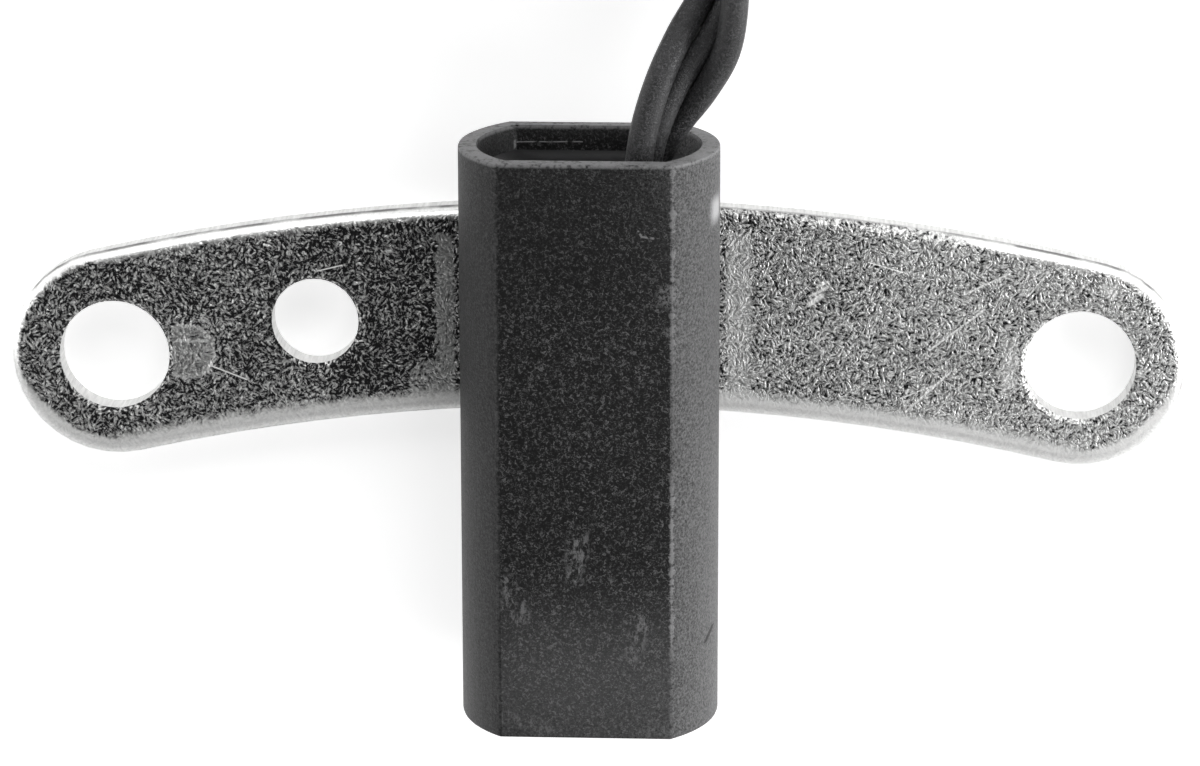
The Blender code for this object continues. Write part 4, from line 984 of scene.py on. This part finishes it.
class SENSOR_OT_bracket(bpy.types.Operator):
    """Plate the bracket with zinc."""

    bl_idname = "sensor.bracket"
    bl_label = "Bracket"

    def execute(self, context):
        dress_node("bracket", zinc_finish(context.scene.sensor_metal))
        return {"FINISHED"}


def add_meniscus(probe, resin):
    """Lay the resin's surface, which climbs the bore's wall."""
    outline = bore_outline(BORE_RADIUS - RESIN_GAP, BORE_HALF_HEIGHT - RESIN_GAP)
    floor = POTTING_TOP_Y + RESIN_LIFT
    rings = 14
    bm = bmesh.new()
    centre = bm.verts.new((0.0, floor, PROBE_AXIS_Z))
    last = None
    for ring in range(1, rings + 1):
        share = (ring / rings) ** 0.6
        y = floor + probe.meniscus * max(0.0, (share - CLIMB_START) / (1 - CLIMB_START)) ** 2
        verts = [bm.verts.new((x * share, y, PROBE_AXIS_Z + z * share)) for x, z in outline]
        if last is None:
            for first, second in zip(verts, verts[1:] + verts[:1]):
                bm.faces.new((centre, first, second))
        else:
            bridge(bm, verts, last)
        last = verts
    skirt = [bm.verts.new((v.co.x, POTTING_TOP_Y - RESIN_SKIRT, v.co.z)) for v in last]
    bridge(bm, skirt, last)
    bm.faces.new(skirt)
    piece = new_piece("resin_surface", bm, resin)


class SENSOR_OT_probe(bpy.types.Operator):
    """Give the probe its moulded skin, and its fill the meniscus of a poured resin."""

    bl_idname = "sensor.probe"
    bl_label = "Probe"

    def execute(self, context):
        probe = context.scene.sensor_probe
        dress_node("housing", probe_finish(probe))
        resin = resin_finish(probe)
        dress_node("potting_compound", resin)
        add_meniscus(probe, resin)
        return {"FINISHED"}


def bore_outline(radius, half_height, steps=18, cuts=12):
    """Return the bore's outline: two arcs joined by two flats."""
    reach = math.asin(half_height / radius)
    arc = [reach * (2 * step / steps - 1) for step in range(steps + 1)]
    right = [(radius * math.cos(angle), radius * math.sin(angle)) for angle in arc]
    edge = right[-1][0]
    top = [(edge * (1 - 2 * cut / cuts), half_height) for cut in range(1, cuts)]
    return right + top + [(-x, -z) for x, z in right + top]


def carrier_finish(parts):
    """Return natural moulding with faint flow lines."""
    finish = new_finish("carrier_moulding")
    flow = finish.noise(1.0, 3.0, 0.6, stretch=(0.8, 0.15, 0.8))
    grain = finish.noise(8.0)
    base = finish.shades(flow, parts.carrier, 0.88, 1.08)
    return finish.surface(base, 0.42 + grain * 0.15, (grain, 0.01, 0.6))


def element_finish(metal):
    """Return black epoxy with tinned legs."""
    finish = new_finish("element_epoxy")
    leg = finish.across()[0].rise(*LEG_EDGE)
    grain = finish.noise(14.0, 3.0, 0.7)
    epoxy = finish.blend(grain, (0.012, 0.012, 0.013), (0.03, 0.03, 0.031))
    base = finish.blend(leg, epoxy, metal.tin)
    return finish.surface(base, 0.55 - leg * 0.25 + grain * 0.08, (grain, 0.008, 0.7), leg)


def magnet_finish(metal):
    """Return bright nickel with handling marks."""
    finish = new_finish("magnet_nickel")
    hair = finish.noise(1.0, stretch=(9.0, 0.6, 9.0))
    base = finish.shades(finish.noise(0.9, 4.0, 0.6), metal.nickel, 0.85, 1.12)
    return finish.surface(base, 0.16 + hair * 0.2, (hair, 0.004, 0.5), 1.0)


def pole_finish(metal):
    """Return steel with the rings of a lathe tool on its faces."""
    finish = new_finish("pole_steel")
    x, _, z = finish.across()
    span = (x.square() + (z - PROBE_AXIS_Z / MM).square()).root()
    rings = (span * 42.0).wave() * 0.5 + 0.5
    grain = finish.noise(6.0, 3.0)
    base = finish.shades(grain, metal.steel, 0.8, 1.2)
    return finish.surface(base, 0.3 + grain * 0.15, (rings + grain * 0.4, 0.006, 0.6), 1.0)


class SENSOR_OT_sensing(bpy.types.Operator):
    """Finish the carrier, the Hall element, the magnet and the pole piece."""

    bl_idname = "sensor.sensing"
    bl_label = "Sensing parts"

    def execute(self, context):
        metal = context.scene.sensor_metal
        dress_node("element_carrier", carrier_finish(context.scene.sensor_connector))
        dress_node("hall_ic", element_finish(metal))
        dress_node("bias_magnet", magnet_finish(metal))
        dress_node("pole_piece", pole_finish(metal))
        return {"FINISHED"}


def board_finish(parts, tin):
    """Return lacquered board with tracks, tinned pads and bare fibre at its edges."""
    finish = new_finish("board_lacquer")
    x, y, z = finish.across()
    face = abs(finish.facing()[0]).rise(0.6, 0.9)
    row = z - PROBE_AXIS_Z / MM
    tracks = (row * TRACK_RATE).wave().square().rise(0.72, 0.82) * face
    wire_pads = [abs(row - offset).fall(0.55, 0.65) for offset in WIRE_PAD_ROWS]
    leg_pads = [abs(row - offset).fall(0.4, 0.5) for offset in LEG_PAD_ROWS]
    pads = strongest(*wire_pads) * y.rise(2.3, 2.5)
    pads = pads.at_least(strongest(*leg_pads) * y.fall(-5.6, -5.2)) * face * (x > BOARD_FACE_X)
    weave = (y * 14.0).wave() * (row * 14.0).wave()
    grain = finish.noise(5.0, 3.0)
    lacquer = finish.blend(tracks * 0.8, parts.board, tinted(parts.board, 2.2))
    fibre = finish.blend(grain, (0.42, 0.4, 0.24), (0.62, 0.6, 0.4))
    base = finish.blend(pads, finish.blend(face, fibre, lacquer), tin)
    relief = (tracks * 0.6 + weave * 0.12 + grain * 0.15 + pads * 0.5, 0.02, 0.7)
    return finish.surface(base, 0.3 + grain * 0.12 + (1.0 - face) * 0.35, relief, pads)


def chip_finish(name, colour, tin):
    """Return fired ceramic with tinned end caps."""
    finish = new_finish(name + "_ceramic")
    cap = abs(finish.across()[2] - PROBE_AXIS_Z / MM).rise(*CAP_EDGE)
    grain = finish.noise(11.0, 3.0, 0.6)
    base = finish.blend(cap, finish.shades(grain, colour, 0.8, 1.25), tin)
    return finish.surface(base, 0.34 + grain * 0.15, (grain, 0.01, 0.6), cap)


class SENSOR_OT_circuit(bpy.types.Operator):
    """Finish the board and its chips."""

    bl_idname = "sensor.circuit"
    bl_label = "Circuit"

    def execute(self, context):
        parts = context.scene.sensor_connector
        tin = context.scene.sensor_metal.tin
        dress_node("circuit_board", board_finish(parts, tin))
        for number in (1, 2):
            chip = chip_finish(f"capacitor_{number}", parts.ceramic, tin)
            dress_node(f"filter_capacitor_{number}", chip)
        dress_node("pull_up_resistor", chip_finish("resistor", (0.02, 0.02, 0.024), tin))
        return {"FINISHED"}


def shell_finish(parts):
    """Return satin black moulding with fine grain, flow lines and dust."""
    finish = new_finish("connector_moulding")
    grain = finish.noise(9.0, 3.0, 0.65)
    flow = finish.noise(1.0, 3.0, 0.5, stretch=(0.9, 0.12, 0.9))
    dust = finish.noise(3.5, 4.0, 0.7).rise(0.62, 0.78)
    base = finish.shades(flow, parts.shell, 0.8, 1.35)
    base = finish.blend(dust * 0.2, base, tinted(parts.shell, 6.0))
    return finish.surface(base, 0.36 + grain * 0.14 + dust * 0.1, (grain + flow * 0.4, 0.012, 0.8))


def lock_finish(parts):
    """Return pale moulding with a gate mark."""
    finish = new_finish("lock_moulding")
    x, _, z = finish.across()
    gate = ((x - GATE_MARK[0]).square() + (z - GATE_MARK[1]).square()).root().fall(0.35, 0.45)
    grain = finish.noise(8.0, 3.0)
    base = finish.shades(grain, parts.lock, 0.92, 1.05)
    base = finish.blend(gate * 0.3, base, tinted(parts.lock, 0.6))
    return finish.surface(base, 0.4 + grain * 0.1, (grain * 0.4 - gate, 0.02, 0.6))


def terminal_finish(metal):
    """Return tinned brass, rubbed through at the blades' tips."""
    finish = new_finish("tinned_brass")
    hair = finish.noise(1.0, 3.0, stretch=(8.0, 0.5, 8.0))
    cloud = finish.noise(1.4, 3.0, 0.6)
    tip = finish.across()[1].rise(BLADE_TIP_Y - 0.8, BLADE_TIP_Y) * cloud.rise(0.3, 0.6)
    base = finish.blend(tip * 0.7, finish.shades(cloud, metal.tin, 0.85, 1.1), metal.brass)
    return finish.surface(base, 0.22 + hair * 0.2, (hair, 0.006, 0.6), 1.0)


def seal_finish(parts):
    """Return satin silicone with bloom."""
    finish = new_finish("seal_silicone")
    grain = finish.noise(6.0, 3.0)
    bloom = finish.noise(1.3, 3.0, 0.6).rise(0.45, 0.75)
    base = finish.shades(grain, parts.seal, 0.85, 1.15)
    base = finish.blend(bloom * 0.25, base, tinted(parts.seal, 1.9))
    return finish.surface(base, 0.42 + bloom * 0.2, (grain, 0.012, 0.6))


class SENSOR_OT_connector(bpy.types.Operator):
    """Finish the connector, its lock plate, its terminals and its seals."""

    bl_idname = "sensor.connector"
    bl_label = "Connector"

    def execute(self, context):
        parts = context.scene.sensor_connector
        dress_node("connector_housing", shell_finish(parts))
        dress_node("terminal_lock", lock_finish(parts))
        terminal = terminal_finish(context.scene.sensor_metal)
        seal = seal_finish(parts)
        for number in (1, 2, 3):
            dress_node(f"terminal_{number}", terminal)
            dress_node(f"wire_seal_{number}", seal)
        return {"FINISHED"}


def tape_finish(wires):
    """Return woven black tape."""
    finish = new_finish("harness_tape")
    x, y, z = finish.across()
    centre = coil_facts()[0] / MM
    around = (y - centre.y).angle_over(x - centre.x) * (wires.coil_radius / MM)
    weave = (around * 16.0).wave() * 0.5 + (z * 16.0).wave() * 0.5
    grain = finish.noise(6.0, 3.0)
    base = finish.shades(grain, wires.tape_colour, 0.7, 2.4)
    return finish.surface(base, 0.5 + grain * 0.2, (weave + grain, 0.02, 0.7))


def tape_sleeve(wires, middle):
    """Return a thin sleeve round the coil's turns, centred at an angle of the ring."""
    centre, _, low, _ = coil_facts()
    half = wires.tape_length / wires.coil_radius / 2
    levels = (low, low + (wires.turns - 1) * wires.bundle)
    steps = 12
    bm = bmesh.new()
    rows = []
    for step in range(steps + 1):
        angle = middle - half + 2 * half * step / steps
        spoke = Vector((math.cos(angle), math.sin(angle), 0.0))
        rows.append([])
        for thickness in (0.0, wires.tape_thickness):
            places = [
                centre + spoke * (wires.coil_radius + out) + Vector((0.0, 0.0, max(up, TAPE_LIFT)))
                for out, up in tape_section(wires.bundle / 2, levels, thickness)
            ]
            rows[-1].append([bm.verts.new(place) for place in places])
    for first, second in zip(rows, rows[1:]):
        for layer in (0, 1):
            bridge(bm, first[layer], second[layer])
    for inner, outer in (rows[0], rows[-1]):
        bridge(bm, inner, outer)
    return bm


def tape_section(radius, levels, thickness, steps=14):
    """Return the tape's section: half a circle over the top turn, half under the lowest."""
    low, high = levels
    points = []
    for start, level, lap in ((0.0, high, 0.35 * thickness), (math.pi, low, 0.0)):
        for step in range(steps + 1):
            angle = start + math.pi * step / steps
            reach = radius + thickness + (lap if step > steps * 0.6 else 0.0)
            points.append((reach * math.cos(angle), level + reach * math.sin(angle)))
    return points


class SENSOR_OT_coil_tape(bpy.types.Operator):
    """Wrap two turns of harness tape round the coil."""

    bl_idname = "sensor.coil_tape"
    bl_label = "Coil tape"

    def execute(self, context):
        wires = context.scene.sensor_wires
        material = tape_finish(wires)
        for number, angle in enumerate(TAPE_ANGLES, start=1):
            bm = tape_sleeve(wires, math.radians(angle))
            piece = new_piece(f"coil_tape_{number}", bm, material)
        return {"FINISHED"}


class SENSOR_PT_sensor(bpy.types.Panel):
    """The sensor's settings and steps, in the sidebar of the 3D view."""

    bl_idname = "SENSOR_PT_sensor"
    bl_label = "Sensor"
    bl_space_type = "VIEW_3D"
    bl_region_type = "UI"
    bl_category = "Sensor"

    def draw(self, context):
        for name, kind in SETTINGS.items():
            box = self.layout.box()
            box.label(text=kind.__doc__)
            for setting in kind.__annotations__:
                box.prop(getattr(context.scene, name), setting)
        for step in STEPS:
            self.layout.operator(step.bl_idname)


STEPS = (
    SENSOR_OT_studio,
    SENSOR_OT_wires,
    SENSOR_OT_bracket,
    SENSOR_OT_probe,
    SENSOR_OT_sensing,
    SENSOR_OT_circuit,
    SENSOR_OT_connector,
    SENSOR_OT_coil_tape,
)

SETTINGS = {
    "sensor_studio": StudioSettings,
    "sensor_wires": WireSettings,
    "sensor_probe": ProbeSettings,
    "sensor_metal": MetalSettings,
    "sensor_connector": ConnectorSettings,
}

CLASSES = (*SETTINGS.values(), *STEPS, SENSOR_PT_sensor)


def register():
    """Register the classes and hang their settings on the scene."""
    for kind in CLASSES:
        bpy.utils.register_class(kind)
    for name, kind in SETTINGS.items():
        setattr(bpy.types.Scene, name, bpy.props.PointerProperty(type=kind))


def unregister():
    """Take the settings and the classes away again."""
    for name in SETTINGS:
        delattr(bpy.types.Scene, name)
    for kind in reversed(CLASSES):
        bpy.utils.unregister_class(kind)


def main():
    """Build every piece in order."""
    register()
    bpy.ops.sensor.studio()
    bpy.ops.sensor.wires()
    bpy.ops.sensor.bracket()
    bpy.ops.sensor.probe()
    bpy.ops.sensor.sensing()
    bpy.ops.sensor.circuit()
    bpy.ops.sensor.connector()
    bpy.ops.sensor.coil_tape()


if __name__ == "__main__":
    main()
